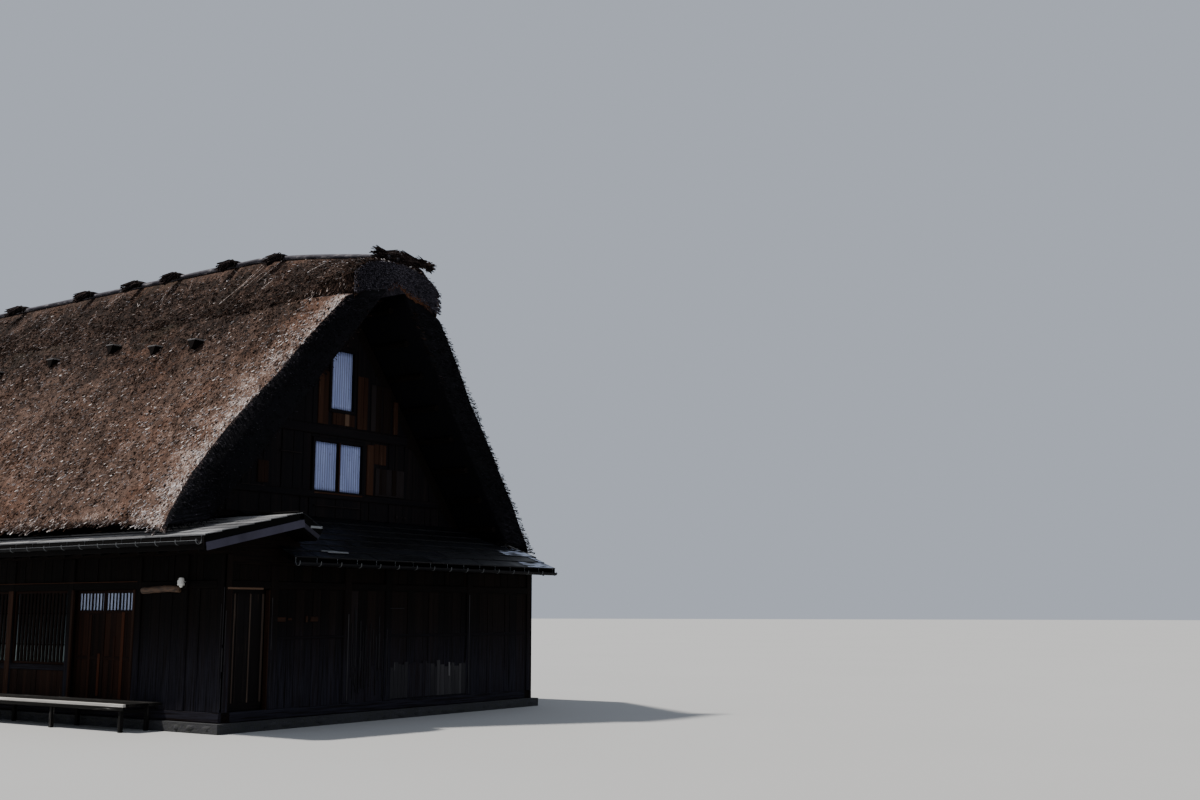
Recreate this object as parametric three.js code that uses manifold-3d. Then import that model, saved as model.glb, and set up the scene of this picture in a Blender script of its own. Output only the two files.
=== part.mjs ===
// Minka farmhouse: a boarded ground floor under metal lean-to roofs, with a steep thatched roof above it.
// Millimetres, +Z up. The origin is on the ground under the middle of the house.
// The gable with the slatted door faces -Y, and the long side with the entrance faces -X.
import * as THREE from "three";
import { mergeVertices } from "three/addons/utils/BufferGeometryUtils.js";
import Module from "manifold-3d";

const wasm = await Module();
wasm.setup();

// Left between pieces that touch.
const GAP = 0.3;

// Plan of the ground floor, to the outer faces of its posts.
const HALF_WIDTH = 3800;
const HALF_LENGTH = 8500;
// The upper gable walls stand back from the ends of the ground floor.
const GABLE_Y = 7000;

// Footings, sills, floor.
const FOOTING_TOP = 150;
const FOOTING_OUT = 100;
const FOOTING_IN = 300;
const SILL_TOP = 300;
const SILL_DEPTH = 200;
const FLOOR_BOARD = 60;
const JOIST_WIDTH = 120;

// Timber walls: posts with boards let in between them.
const WALL_DEPTH = 120;
const CORNER = 150;
const POST = 150;
const BOARD_FACE = 40;
const BOARD_BACK = 80;
const DOOR_HEAD = 2135;
const LINTEL_TOP = 2250;
const SIDE_WALL_TOP = 2650;
const END_WALL_TOP = 2500;
const SIDE_PLATE_TOP = 2850;
const SIDE_PLATE_DEPTH = 300;
const END_PLATE_TOP = 2650;
const FASCIA = 60;

// Openings in the walls, as distances along Y on the long sides and along X on the ends.
const ENTRANCE = [-6400, -4800];
const SLATTED_DOORWAY = [-HALF_WIDTH + CORNER, -2875];
const WINDOW_BAYS = [[-4650, -3125], [-2975, -1525]];
const WINDOW_SILL = 920;
const LEFT_POSTS = [-7600, -6475, -4725, -3050, -1450, 150, 1750, 3350, 4950, 6550];
const RIGHT_POSTS = [-6550, -4725, -3050, -1450, 150, 1750, 3350, 4950, 6550];
const END_POSTS = [-2800, -1200, -230, 1920];

// Doors.
const LEAF = 35;
const LEAF_TOP = 2130;
const DOOR_PLAY = 5;
const LEAF_LAP = 40;

// Thatch: its outer face runs up from the eave to the edge of the ridge cap.
const EAVE_X = 4600;
const EAVE_Z = 3000;
const CAP_X = 1240;
const CAP_Z = 7200;
const RISE = (CAP_Z - EAVE_Z) / (EAVE_X - CAP_X);
const SLOPE = Math.atan(RISE);
const THATCH_ACROSS = 800;
const EAVE_LIFT = 180;
// The eave is trimmed up the slope by this much, except at its corners, where it sweeps down.
const EAVE_TRIM = 160;
const EAVE_SWEEP_Y = [6600, 7400];
// The cut ends lean outwards as they rise.
const VERGE_Y = 7900;
const VERGE_TOP_Y = 8250;
const VERGE_LEAN = (VERGE_TOP_Y - VERGE_Y) / (CAP_Z - EAVE_Z);

// Ridge cap.
const CAP_VERGE_Y = 8350;
const CAP_HAUNCH = [790, 7360];
const CAP_FOOT_Z = 7480;
const CAP_APEX_Z = 7620;
const CREST_LEVEL = 8570;
const CREST_END = 8040;
const CREST_BEND_Y = 4700;
const HOOD_POWER = 2.3;
const HOOD_SWELL = 3;

// Roof frame: rafters on tie beams, with round purlins across them.
const RAFTER_WIDTH = 180;
const RAFTER_OUTER = 90;
const RAFTER_INNER = 300;
const RAFTER_COUNT = 9;
const PURLIN = 55;
const PURLIN_COUNT = 8;
const PURLIN_FIRST_Z = 3400;
const PURLIN_STEP_Z = 550;
const PURLIN_Y = 7850;
const TIE_TOP = 3100;
const TIE_HALF = 3680;
const ATTIC_BOARD = 60;
const UPPER_FLOOR = [4930, 5100];

// Gable walls and their windows.
const GABLE_TOP = 7150;
const GABLE_DEPTH = 120;
const BEAM_PROUD = 40;
const SILL_BEAM = [3790, 3910];
const LOWER_WINDOW = { x: [-650, 530], z: [3920, 4810] };
const MULLION = [-80, -40];
const UPPER_WINDOW = { x: [-290, 260], z: [5420, 6520] };
const SHOJI = 36;

// Metal roofs over the ground floor.
const LEAN_EAVE_X = 4600;
const LEAN_EAVE_Z = 2870;
const LEAN_PITCH = 0.2312;
const LEAN_DEPTH = 205;
const LEAN_TOP_X = 3700;
const LEAN_VERGE_Y = 9000;
const RIGHT_LEAN_VERGE_Y = 8000;
const RETURN_RIDGE_X = 2740;
const RETURN_EDGE_X = 2300;
const RETURN_DROP = 240;
const PENT_EAVE_Y = 8900;
const PENT_EAVE_Z = 2620;
const PENT_PITCH = 0.436;
const PENT_DEPTH = 120;
const PENT_RIGHT_X = 4020;

// Gutters, bench and lamp.
const GUTTER = 50;
const GUTTER_WALL = 4;
const GUTTER_DROP = 80;
const BENCH_TOP = 420;
const BENCH_PLANK = 45;
const BENCH_Y = [-7200, -1800];
const BENCH_X = -4500;
const BENCH_LEG = 60;
const BENCH_LEG_PAIRS = 4;
const LAMP_Y = -7650;
const LAMP_Z = 2200;
const LAMP_RADIUS = 75;
const LAMP_HEIGHT = 230;

const FRONT = -1;
const BACK = 1;
const LEFT = -1;
const RIGHT = 1;

const finish = (color, roughness, metalness = 0) =>
  new THREE.MeshStandardMaterial({ color, roughness, metalness });
const STONE = finish(0x6f6c66, 0.9);
const DARK_CEDAR = finish(0x2b211b, 0.8);
const RED_CEDAR = finish(0x4a2c1e, 0.75);
const FLOOR_WOOD = finish(0x6b4f38, 0.7);
const POLE_WOOD = finish(0x8a7358, 0.8);
const THATCH = finish(0x7d6650, 0.95);
const MOSSY_THATCH = finish(0x574a38, 0.95);
const ROOF_METAL = finish(0x4a505c, 0.5, 0.6);
const GUTTER_METAL = finish(0x777b80, 0.45, 0.7);
const SHOJI_PAPER = finish(0xa9afcf, 0.6);
const LAMP_WHITE = finish(0xd8d8d4, 0.5);
const BENCH_WOOD = finish(0x8c8984, 0.85);

// Solids

function solid(geometry) {
  geometry.deleteAttribute("normal");
  geometry.deleteAttribute("uv");
  const merged = mergeVertices(geometry, 1e-3);
  return new wasm.Manifold(
    new wasm.Mesh({
      numProp: 3,
      vertProperties: merged.attributes.position.array,
      triVerts: new Uint32Array(merged.index.array),
    }),
  );
}

const join = (...solids) => solids.flat().reduce((a, b) => a.add(b));

function block([x0, x1], [y0, y1], [z0, z1]) {
  const box = new THREE.BoxGeometry(Math.abs(x1 - x0), Math.abs(y1 - y0), Math.abs(z1 - z0));
  return solid(box.translate((x0 + x1) / 2, (y0 + y1) / 2, (z0 + z1) / 2));
}

// An outline drawn across the house, in X and Z, run along Y.
function alongY(outline, [y0, y1]) {
  const shape = new THREE.Shape(outline.map(([x, z]) => new THREE.Vector2(x, z)));
  const run = new THREE.ExtrudeGeometry(shape, { depth: Math.abs(y1 - y0), bevelEnabled: false });
  return solid(run.rotateX(Math.PI / 2).translate(0, Math.max(y0, y1), 0));
}

// An outline drawn along the house, in Y and Z, run along X.
function alongX(outline, [x0, x1]) {
  const shape = new THREE.Shape(outline.map(([y, z]) => new THREE.Vector2(y, z)));
  const run = new THREE.ExtrudeGeometry(shape, { depth: Math.abs(x1 - x0), bevelEnabled: false });
  const axes = new THREE.Matrix4().makeBasis(
    new THREE.Vector3(0, 1, 0),
    new THREE.Vector3(0, 0, 1),
    new THREE.Vector3(1, 0, 0),
  );
  return solid(run.applyMatrix4(axes).translate(Math.min(x0, x1), 0, 0));
}

// A round pole of a few sides from one point to another.
function pole(from, to, radius, sides = 8) {
  const [a, b] = [new THREE.Vector3(...from), new THREE.Vector3(...to)];
  const line = b.clone().sub(a);
  const stick = new THREE.CylinderGeometry(radius, radius, line.length(), sides);
  const turn = new THREE.Quaternion().setFromUnitVectors(new THREE.Vector3(0, 1, 0), line.normalize());
  return solid(stick.applyQuaternion(turn).translate(...a.add(b).multiplyScalar(0.5)));
}

// A solid through closed sections of X and Z points, each at its own Y, in order of rising Y.
function loft(rings) {
  const count = rings[0].length;
  const position = rings.flat(2);
  const index = [];
  for (let s = 0; s + 1 < rings.length; s++) {
    for (let i = 0; i < count; i++) {
      const a = s * count + i;
      const b = s * count + ((i + 1) % count);
      index.push(a, b + count, b, a, a + count, b + count);
    }
  }
  const end = (rings.length - 1) * count;
  const outline = rings[0].map(([x, , z]) => new THREE.Vector2(x, z));
  for (const [a, b, c] of THREE.ShapeUtils.triangulateShape(outline, [])) {
    index.push(a, b, c, end + a, end + c, end + b);
  }
  const skin = new THREE.BufferGeometry();
  skin.setAttribute("position", new THREE.BufferAttribute(new Float32Array(position), 3));
  return solid(skin.setIndex(index));
}

const house = new THREE.Group();

function add(name, shape, material) {
  const { vertProperties, triVerts } = shape.getMesh();
  const geometry = new THREE.BufferGeometry();
  geometry.setAttribute("position", new THREE.BufferAttribute(vertProperties, 3));
  geometry.setIndex(new THREE.BufferAttribute(triVerts, 1));
  const mesh = new THREE.Mesh(geometry, material);
  mesh.name = name;
  house.add(mesh);
}

const mirrored = (range, side) => range.map((v) => v * side);
const inset = ([low, high], gap) => [low + gap, high - gap];

// A block on one of the four outer walls: along the wall, depth in from its outer face, and height.
const FACES = {
  left: (along, depth, z) => block(depth.map((d) => d - HALF_WIDTH), along, z),
  right: (along, depth, z) => block(depth.map((d) => HALF_WIDTH - d), along, z),
  front: (along, depth, z) => block(along, depth.map((d) => d - HALF_LENGTH), z),
  back: (along, depth, z) => block(along, depth.map((d) => HALF_LENGTH - d), z),
};

// Footings, sills and the ground floor

function footings() {
  const height = [0, FOOTING_TOP];
  const reach = HALF_LENGTH + FOOTING_OUT;
  const between = HALF_WIDTH - FOOTING_IN - GAP;
  for (const side of ["left", "right"]) {
    add(side + "_footing", FACES[side]([-reach, reach], [-FOOTING_OUT, FOOTING_IN], height), STONE);
  }
  for (const end of ["front", "back"]) {
    add(end + "_footing", FACES[end]([-between, between], [-FOOTING_OUT, FOOTING_IN], height), STONE);
  }
}

function sills() {
  const height = [FOOTING_TOP + GAP, SILL_TOP];
  const between = HALF_WIDTH - SILL_DEPTH - GAP;
  for (const side of ["left", "right"]) {
    add(side + "_sill", FACES[side]([-HALF_LENGTH, HALF_LENGTH], [0, SILL_DEPTH], height), DARK_CEDAR);
  }
  for (const end of ["front", "back"]) {
    add(end + "_sill", FACES[end]([-between, between], [0, SILL_DEPTH], height), DARK_CEDAR);
  }
}

// Floorboards with joists under them that bear on the inner ledge of the footings.
function groundFloor() {
  const x = HALF_WIDTH - SILL_DEPTH - 2 * GAP;
  const y = HALF_LENGTH - SILL_DEPTH - 2 * GAP;
  const boards = block([-x, x], [-y, y], [SILL_TOP - FLOOR_BOARD, SILL_TOP]);
  const joists = [];
  for (let i = 0; i < RAFTER_COUNT; i++) {
    const middle = rafterY(i);
    const across = [middle - JOIST_WIDTH / 2, middle + JOIST_WIDTH / 2];
    joists.push(block([-x, x], across, [FOOTING_TOP + GAP, SILL_TOP - FLOOR_BOARD / 2]));
  }
  add("ground_floor", join(boards, joists), FLOOR_WOOD);
}

// Timber walls

function boardWall(face, [from, to], posts, top, windows = []) {
  const height = [SILL_TOP + GAP, top];
  const pieces = [FACES[face]([from, to], [BOARD_FACE, BOARD_BACK], height)];
  for (const middle of posts) {
    const along = [Math.max(from, middle - POST / 2), Math.min(to, middle + POST / 2)];
    pieces.push(FACES[face](along, [0, WALL_DEPTH], height));
  }
  pieces.push(FACES[face]([from, to], [BOARD_FACE / 2, WALL_DEPTH], [DOOR_HEAD, LINTEL_TOP]));
  for (const bay of windows) {
    const ledge = [WINDOW_SILL - BOARD_BACK, WINDOW_SILL + GAP];
    pieces.push(FACES[face](bay, [BOARD_FACE / 2, WALL_DEPTH], ledge));
  }
  const holes = windows.map((bay) =>
    FACES[face](bay, [-WALL_DEPTH, 2 * WALL_DEPTH], [WINDOW_SILL, DOOR_HEAD]),
  );
  return holes.reduce((wall, hole) => wall.subtract(hole), join(pieces));
}

function cornerPost(face, end) {
  const along = [end * HALF_LENGTH, end * (HALF_LENGTH - CORNER)];
  return FACES[face](along, [0, CORNER], [SILL_TOP + GAP, SIDE_WALL_TOP - GAP]);
}

// The wall over a doorway, with a head rail that the leaves run under.
function wallOver(face, doorway, top, railDepth) {
  const [from, to] = inset(doorway, GAP);
  return join(
    FACES[face]([from, to], [BOARD_FACE, BOARD_BACK], [DOOR_HEAD, top]),
    FACES[face]([from, to], railDepth, [DOOR_HEAD, LINTEL_TOP]),
  );
}

function longWalls() {
  const top = SIDE_WALL_TOP - GAP;
  const [doorFrom, doorTo] = ENTRANCE;
  const frontPart = boardWall("left", [-HALF_LENGTH, doorFrom], LEFT_POSTS.slice(0, 2), top);
  add("left_wall_front", join(frontPart, cornerPost("left", FRONT)), DARK_CEDAR);
  add("left_wall_over_entrance", wallOver("left", ENTRANCE, top, [0, WALL_DEPTH]), DARK_CEDAR);
  const backPart = boardWall("left", [doorTo, HALF_LENGTH], LEFT_POSTS.slice(2), top, WINDOW_BAYS);
  add("left_wall_back", join(backPart, cornerPost("left", BACK)), DARK_CEDAR);
  const right = boardWall("right", [-HALF_LENGTH, HALF_LENGTH], RIGHT_POSTS, top, WINDOW_BAYS);
  const corners = [cornerPost("right", FRONT), cornerPost("right", BACK)];
  add("right_wall", join(right, corners), DARK_CEDAR);
}

function endWalls() {
  const top = END_WALL_TOP - GAP;
  const inner = HALF_WIDTH - CORNER - GAP;
  const [doorFrom, doorTo] = SLATTED_DOORWAY;
  const over = wallOver("front", SLATTED_DOORWAY, top, [0, WALL_DEPTH]);
  // The head track of the sliding leaf runs on behind the wall beside the doorway.
  const track = FACES.front(
    [doorFrom + GAP, 2 * doorTo - doorFrom],
    [WALL_DEPTH + GAP, SILL_DEPTH],
    [DOOR_HEAD, LINTEL_TOP],
  );
  const hanger = FACES.front(inset(SLATTED_DOORWAY, GAP), [BOARD_FACE, SILL_DEPTH], [DOOR_HEAD, LINTEL_TOP]);
  add("front_wall_over_door", join(over, track, hanger), DARK_CEDAR);
  add("front_wall", boardWall("front", [doorTo, inner], END_POSTS, top), DARK_CEDAR);
  add("back_wall", boardWall("back", [-inner, inner], END_POSTS, top), DARK_CEDAR);
}

function latticeWindow(name, face, bay) {
  const along = inset(bay, GAP);
  const height = [WINDOW_SILL + 2 * GAP, DOOR_HEAD - GAP];
  const [rim, bar, bars] = [45, 24, 9];
  const depth = [30, 75];
  const slim = [45, 69];
  const middle = (height[0] + height[1]) / 2;
  const pieces = [
    FACES[face]([along[0], along[0] + rim], depth, height),
    FACES[face]([along[1] - rim, along[1]], depth, height),
    FACES[face](along, depth, [height[0], height[0] + rim]),
    FACES[face](along, depth, [height[1] - rim, height[1]]),
    FACES[face](along, slim, [middle - rim / 2, middle + rim / 2]),
  ];
  for (let i = 1; i <= bars; i++) {
    const at = along[0] + ((along[1] - along[0]) * i) / (bars + 1);
    pieces.push(FACES[face]([at - bar / 2, at + bar / 2], slim, height));
  }
  add(name, join(pieces), RED_CEDAR);
}

// Doors

// A boarded leaf with stiles and rails, and an open band of slats at its top when it has one.
function leaf(face, along, depth, band) {
  const height = [SILL_TOP + GAP, LEAF_TOP];
  const [stile, bandBottom, slats] = [60, 1900, 5];
  const core = [depth + 8, depth + LEAF - 8];
  const whole = [depth, depth + LEAF];
  const panelTop = band ? bandBottom : height[1];
  const pieces = [
    FACES[face](along, core, [height[0], panelTop]),
    FACES[face]([along[0], along[0] + stile], whole, height),
    FACES[face]([along[1] - stile, along[1]], whole, height),
    FACES[face](along, whole, [height[0], height[0] + 2 * stile]),
    FACES[face](along, whole, [height[1] - stile, height[1]]),
  ];
  if (band) pieces.push(FACES[face](along, whole, [bandBottom - stile, bandBottom]));
  for (let i = 1; i <= slats; i++) {
    const at = along[0] + ((along[1] - along[0]) * i) / (slats + 1);
    const reach = band ? [bandBottom - stile / 2, height[1]] : height;
    pieces.push(FACES[face]([at - 12, at + 12], band ? core : whole, reach));
  }
  return join(pieces);
}

function doors() {
  const width = (ENTRANCE[1] - ENTRANCE[0] - 2 * DOOR_PLAY + LEAF_LAP) / 2;
  const near = [ENTRANCE[0] + DOOR_PLAY, ENTRANCE[0] + DOOR_PLAY + width];
  const far = [ENTRANCE[1] - DOOR_PLAY - width, ENTRANCE[1] - DOOR_PLAY];
  const outerTrack = 25;
  const innerTrack = outerTrack + LEAF + 2 * DOOR_PLAY;
  add("entrance_door_near", leaf("left", near, outerTrack, true), RED_CEDAR);
  add("entrance_door_far", leaf("left", far, innerTrack, true), RED_CEDAR);
  const slatted = inset(SLATTED_DOORWAY, DOOR_PLAY);
  add("slatted_door", leaf("front", slatted, WALL_DEPTH + 2 * DOOR_PLAY, false), DARK_CEDAR);
}

// Plates that carry the roofs

const leanTop = (x) => LEAN_EAVE_Z + (LEAN_EAVE_X - Math.abs(x)) * LEAN_PITCH;
const pentTop = (y) => PENT_EAVE_Z + (PENT_EAVE_Y - Math.abs(y)) * PENT_PITCH;
const returnEdge = () => leanTop(RETURN_RIDGE_X) - RETURN_DROP;

function plates() {
  const low = SIDE_WALL_TOP;
  const high = SIDE_PLATE_TOP - GAP;
  add(
    "left_plate",
    FACES.left([-HALF_LENGTH, HALF_LENGTH], [0, SIDE_PLATE_DEPTH], [low, high]),
    DARK_CEDAR,
  );
  // The right plate's ends are cut to the pitch of the pent roofs over them.
  const endTop = pentTop(HALF_LENGTH) - PENT_DEPTH - GAP;
  const levelFrom = HALF_LENGTH - (high - endTop) / PENT_PITCH;
  const outline = [
    [-HALF_LENGTH, low],
    [HALF_LENGTH, low],
    [HALF_LENGTH, endTop],
    [levelFrom, high],
    [-levelFrom, high],
    [-HALF_LENGTH, endTop],
  ];
  add("right_plate", alongX(outline, [HALF_WIDTH - SIDE_PLATE_DEPTH, HALF_WIDTH]), DARK_CEDAR);
  for (const end of ["front", "back"]) {
    add(end + "_plate", endPlate(end), DARK_CEDAR);
  }
}

// An end plate with the fascia boards over it, cut to the roofs that rest on them.
function endPlate(end) {
  const beamEnd = HALF_WIDTH - CORNER - GAP;
  const fasciaEnd = HALF_WIDTH - SIDE_PLATE_DEPTH - GAP;
  const y = (end === "front" ? FRONT : BACK) * HALF_LENGTH;
  const inward = y < 0 ? FASCIA : -FASCIA;
  const pentSeat = pentTop(HALF_LENGTH) - PENT_DEPTH - GAP;
  const leanSeat = (x) => leanTop(x) - LEAN_DEPTH - GAP;
  const fascia = [
    [-fasciaEnd, END_WALL_TOP],
    [fasciaEnd, END_WALL_TOP],
    [fasciaEnd, pentSeat],
    [-RETURN_EDGE_X, pentSeat],
    [-RETURN_EDGE_X, returnEdge() - LEAN_DEPTH - GAP],
    [-RETURN_RIDGE_X, leanSeat(RETURN_RIDGE_X)],
    [-fasciaEnd, leanSeat(fasciaEnd)],
  ];
  return join(
    FACES[end]([-beamEnd, beamEnd], [0, CORNER], [END_WALL_TOP, END_PLATE_TOP - GAP]),
    alongY(fascia, [y, y + inward]),
  );
}

// Metal roofs over the ground floor

function leanToRoofs() {
  const outline = (side, outer, inner) => [
    [side * outer, leanTop(outer) - LEAN_DEPTH],
    [side * inner, leanTop(inner) - LEAN_DEPTH],
    [side * inner, leanTop(inner)],
    [side * outer, leanTop(outer)],
  ];
  const left = alongY(outline(LEFT, LEAN_EAVE_X, LEAN_TOP_X), [-LEAN_VERGE_Y, LEAN_VERGE_Y]);
  add("left_lean_to_roof", left, ROOF_METAL);
  const right = alongY(outline(RIGHT, LEAN_EAVE_X, LEAN_TOP_X), [-RIGHT_LEAN_VERGE_Y, RIGHT_LEAN_VERGE_Y]);
  add("right_lean_to_roof", right, ROOF_METAL);
  // Each end of the left roof rises over the corner room and turns down again past a short ridge.
  const start = LEAN_TOP_X - GAP;
  const corner = [
    [-start, leanTop(start) - LEAN_DEPTH],
    [-RETURN_RIDGE_X, leanTop(RETURN_RIDGE_X) - LEAN_DEPTH],
    [-RETURN_EDGE_X, returnEdge() - LEAN_DEPTH],
    [-RETURN_EDGE_X, returnEdge()],
    [-RETURN_RIDGE_X, leanTop(RETURN_RIDGE_X)],
    [-start, leanTop(start)],
  ];
  for (const [name, side] of [["front", FRONT], ["back", BACK]]) {
    const along = mirrored([LEAN_VERGE_Y, GABLE_Y + GAP], side);
    add(name + "_corner_roof", alongY(corner, along), ROOF_METAL);
  }
}

function pentRoofs() {
  const top = GABLE_Y + BEAM_PROUD / 2;
  const clearance = RAFTER_OUTER + PURLIN + BEAM_PROUD;
  const [low, high] = [PENT_EAVE_Z, CAP_Z];
  // What the thatch and its purlins take from the right-hand end.
  const underThatch = [
    [slopeX(clearance, low), low],
    [PENT_RIGHT_X + WALL_DEPTH, low],
    [PENT_RIGHT_X + WALL_DEPTH, high],
    [slopeX(clearance, high), high],
  ];
  for (const [name, side] of [["front", FRONT], ["back", BACK]]) {
    const outline = [
      [PENT_EAVE_Y, PENT_EAVE_Z - PENT_DEPTH],
      [top, pentTop(top) - PENT_DEPTH],
      [top, pentTop(top)],
      [PENT_EAVE_Y, PENT_EAVE_Z],
    ].map(([y, z]) => [side * y, z]);
    const cut = alongY(underThatch, mirrored([GABLE_Y, RIGHT_LEAN_VERGE_Y + BEAM_PROUD], side));
    const roof = alongX(outline, [-RETURN_EDGE_X + GAP, PENT_RIGHT_X]).subtract(cut);
    add(name + "_pent_roof", roof, ROOF_METAL);
  }
}

// Half-round gutters hung at the eaves.
function gutterOutline(at, z, side) {
  const middle = side * (at + GUTTER + GAP);
  const arc = (radius, from, to) => {
    const points = [];
    for (let i = 0; i <= 6; i++) {
      const turn = from + ((to - from) * i) / 6;
      points.push([middle + radius * Math.cos(turn), z + radius * Math.sin(turn)]);
    }
    return points;
  };
  return [...arc(GUTTER, Math.PI, 2 * Math.PI), ...arc(GUTTER - GUTTER_WALL, 2 * Math.PI, Math.PI)];
}

function gutters() {
  const leanZ = LEAN_EAVE_Z - GUTTER_DROP;
  const pentZ = PENT_EAVE_Z - GUTTER_DROP;
  const back = 50;
  const left = [-LEAN_VERGE_Y + back, LEAN_VERGE_Y - back];
  add("left_gutter", alongY(gutterOutline(LEAN_EAVE_X, leanZ, LEFT), left), GUTTER_METAL);
  const right = [-RIGHT_LEAN_VERGE_Y + back, RIGHT_LEAN_VERGE_Y - back];
  add("right_gutter", alongY(gutterOutline(LEAN_EAVE_X, leanZ, RIGHT), right), GUTTER_METAL);
  const along = [-RETURN_EDGE_X + back, PENT_RIGHT_X - back];
  for (const [name, side] of [["front", FRONT], ["back", BACK]]) {
    add(name + "_gutter", alongX(gutterOutline(PENT_EAVE_Y, pentZ, side), along), GUTTER_METAL);
  }
}

// Roof frame

// How far out the underside of the thatch is at a height, or a plane a given depth inside it.
function slopeX(depth, z) {
  return EAVE_X - THATCH_ACROSS - (z - EAVE_Z) / RISE - depth / Math.sin(SLOPE);
}

function rafterY(i) {
  const first = RAFTER_WIDTH / 2 - GABLE_Y;
  return first - (2 * first * i) / (RAFTER_COUNT - 1);
}

function roofFrame(side) {
  const foot = TIE_TOP + GAP;
  const meet = GAP / 2;
  const meetZ = CAP_Z + (slopeX(RAFTER_INNER, CAP_Z) - meet) * RISE;
  const rafter = [
    [slopeX(RAFTER_OUTER, foot), foot],
    [slopeX(RAFTER_OUTER, CAP_FOOT_Z), CAP_FOOT_Z],
    [meet, CAP_FOOT_Z],
    [meet, meetZ],
    [slopeX(RAFTER_INNER, foot), foot],
  ].map(([x, z]) => [side * x, z]);
  const timbers = [];
  for (let i = 0; i < RAFTER_COUNT; i++) {
    const y = rafterY(i);
    timbers.push(alongY(rafter, [y - RAFTER_WIDTH / 2, y + RAFTER_WIDTH / 2]));
  }
  const sides = 8;
  const radius = PURLIN / Math.cos(Math.PI / sides);
  for (let i = 0; i < PURLIN_COUNT; i++) {
    const z = PURLIN_FIRST_Z + i * PURLIN_STEP_Z;
    const x = slopeX(PURLIN + GAP, z);
    const ring = [];
    for (let k = 0; k < sides; k++) {
      const turn = SLOPE + ((k + 0.5) * 2 * Math.PI) / sides;
      ring.push([side * (x - radius * Math.cos(turn)), z + radius * Math.sin(turn)]);
    }
    timbers.push(alongY(ring, [-PURLIN_Y, PURLIN_Y]));
  }
  return join(timbers);
}

function atticFloor() {
  const ties = [];
  for (let i = 0; i < RAFTER_COUNT; i++) {
    const y = rafterY(i);
    const across = [y - RAFTER_WIDTH / 2, y + RAFTER_WIDTH / 2];
    ties.push(block([-TIE_HALF, TIE_HALF], across, [SIDE_PLATE_TOP, TIE_TOP]));
  }
  const x = slopeX(RAFTER_INNER, TIE_TOP);
  const y = GABLE_Y - RAFTER_WIDTH;
  const boards = block([-x, x], [-y, y], [TIE_TOP - ATTIC_BOARD, TIE_TOP]);
  return join(boards, ties);
}

// The second attic floor, whose beams lie between the rafters and wedge against them.
function upperAtticFloor() {
  const [low, high] = UPPER_FLOOR;
  const y = GABLE_Y - GABLE_DEPTH - GAP;
  const wide = slopeX(RAFTER_INNER + GAP, low);
  const narrow = slopeX(RAFTER_INNER + GAP, high);
  return alongY([[-wide, low], [wide, low], [narrow, high], [-narrow, high]], [-y, y]);
}

// Gable walls, which fill the space between the last pair of rafters.
function gableWall(side) {
  const foot = TIE_TOP + GAP;
  const edge = (z) => slopeX(RAFTER_INNER + GAP, z);
  const outline = [
    [-edge(foot), foot],
    [edge(foot), foot],
    [edge(GABLE_TOP), GABLE_TOP],
    [-edge(GABLE_TOP), GABLE_TOP],
  ];
  const depth = mirrored([GABLE_Y - GABLE_DEPTH, GABLE_Y], side);
  const proud = mirrored([GABLE_Y - GABLE_DEPTH, GABLE_Y + BEAM_PROUD], side);
  const rims = [LOWER_WINDOW, UPPER_WINDOW].map(({ x, z }) => block(inset(x, -60), proud, inset(z, -60)));
  const beams = [SILL_BEAM, UPPER_FLOOR].map((z) => block([-edge(z[1]), edge(z[1])], proud, z));
  const [mullionFrom, mullionTo] = MULLION;
  const through = mirrored([GABLE_Y - 2 * GABLE_DEPTH, GABLE_Y + GABLE_DEPTH], side);
  const hole = (x, z) => block(inset(x, -GAP), through, inset(z, -GAP));
  return join(alongY(outline, depth), beams, rims)
    .subtract(hole([LOWER_WINDOW.x[0], mullionFrom], LOWER_WINDOW.z))
    .subtract(hole([mullionTo, LOWER_WINDOW.x[1]], LOWER_WINDOW.z))
    .subtract(hole(UPPER_WINDOW.x, UPPER_WINDOW.z));
}

function shojiPanels(name, side) {
  const depth = mirrored([GABLE_Y - SHOJI, GABLE_Y], side);
  const panels = {
    lower_shoji_left: [[LOWER_WINDOW.x[0], MULLION[0]], LOWER_WINDOW.z],
    lower_shoji_right: [[MULLION[1], LOWER_WINDOW.x[1]], LOWER_WINDOW.z],
    upper_shoji: [UPPER_WINDOW.x, UPPER_WINDOW.z],
  };
  for (const [panel, [x, z]] of Object.entries(panels)) {
    add(name + "_" + panel, block(x, depth, z), SHOJI_PAPER);
  }
}

// Thatch

// The underside of the ridge cap, from one edge up to its apex.
const capUnderside = () => [
  [CAP_X, CAP_Z],
  CAP_HAUNCH,
  [slopeX(0, CAP_FOOT_Z), CAP_FOOT_Z],
];

function thatchSlope(side) {
  const innerEave = EAVE_Z + EAVE_LIFT;
  const section = (y, trim, lean) => {
    const outline = [
      [slopeX(0, innerEave), innerEave],
      [EAVE_X - trim / RISE, EAVE_Z + trim],
      ...capUnderside().map(([x, z]) => [x, z - GAP]),
    ].map(([x, z]) => [side * x, z]);
    const points = side === RIGHT ? outline : outline.toReversed();
    return points.map(([x, z]) => [x, y + lean * (z - EAVE_Z), z]);
  };
  const [level, corner] = EAVE_SWEEP_Y;
  const half = [[level, EAVE_TRIM, 0], [corner, EAVE_TRIM / 2, 0], [VERGE_Y, 0, VERGE_LEAN]];
  const other = half.toReversed().map(([y, trim, lean]) => [-y, trim, -lean]);
  return loft([...other, ...half].map(([y, trim, lean]) => section(y, trim, lean)));
}

// The crest is level along the middle and droops to the ends.
function crest(y) {
  const past = Math.max(0, Math.abs(y) - CREST_BEND_Y) / (CAP_VERGE_Y - CREST_BEND_Y);
  return CREST_LEVEL - (CREST_LEVEL - CREST_END) * past ** 1.3;
}

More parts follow.
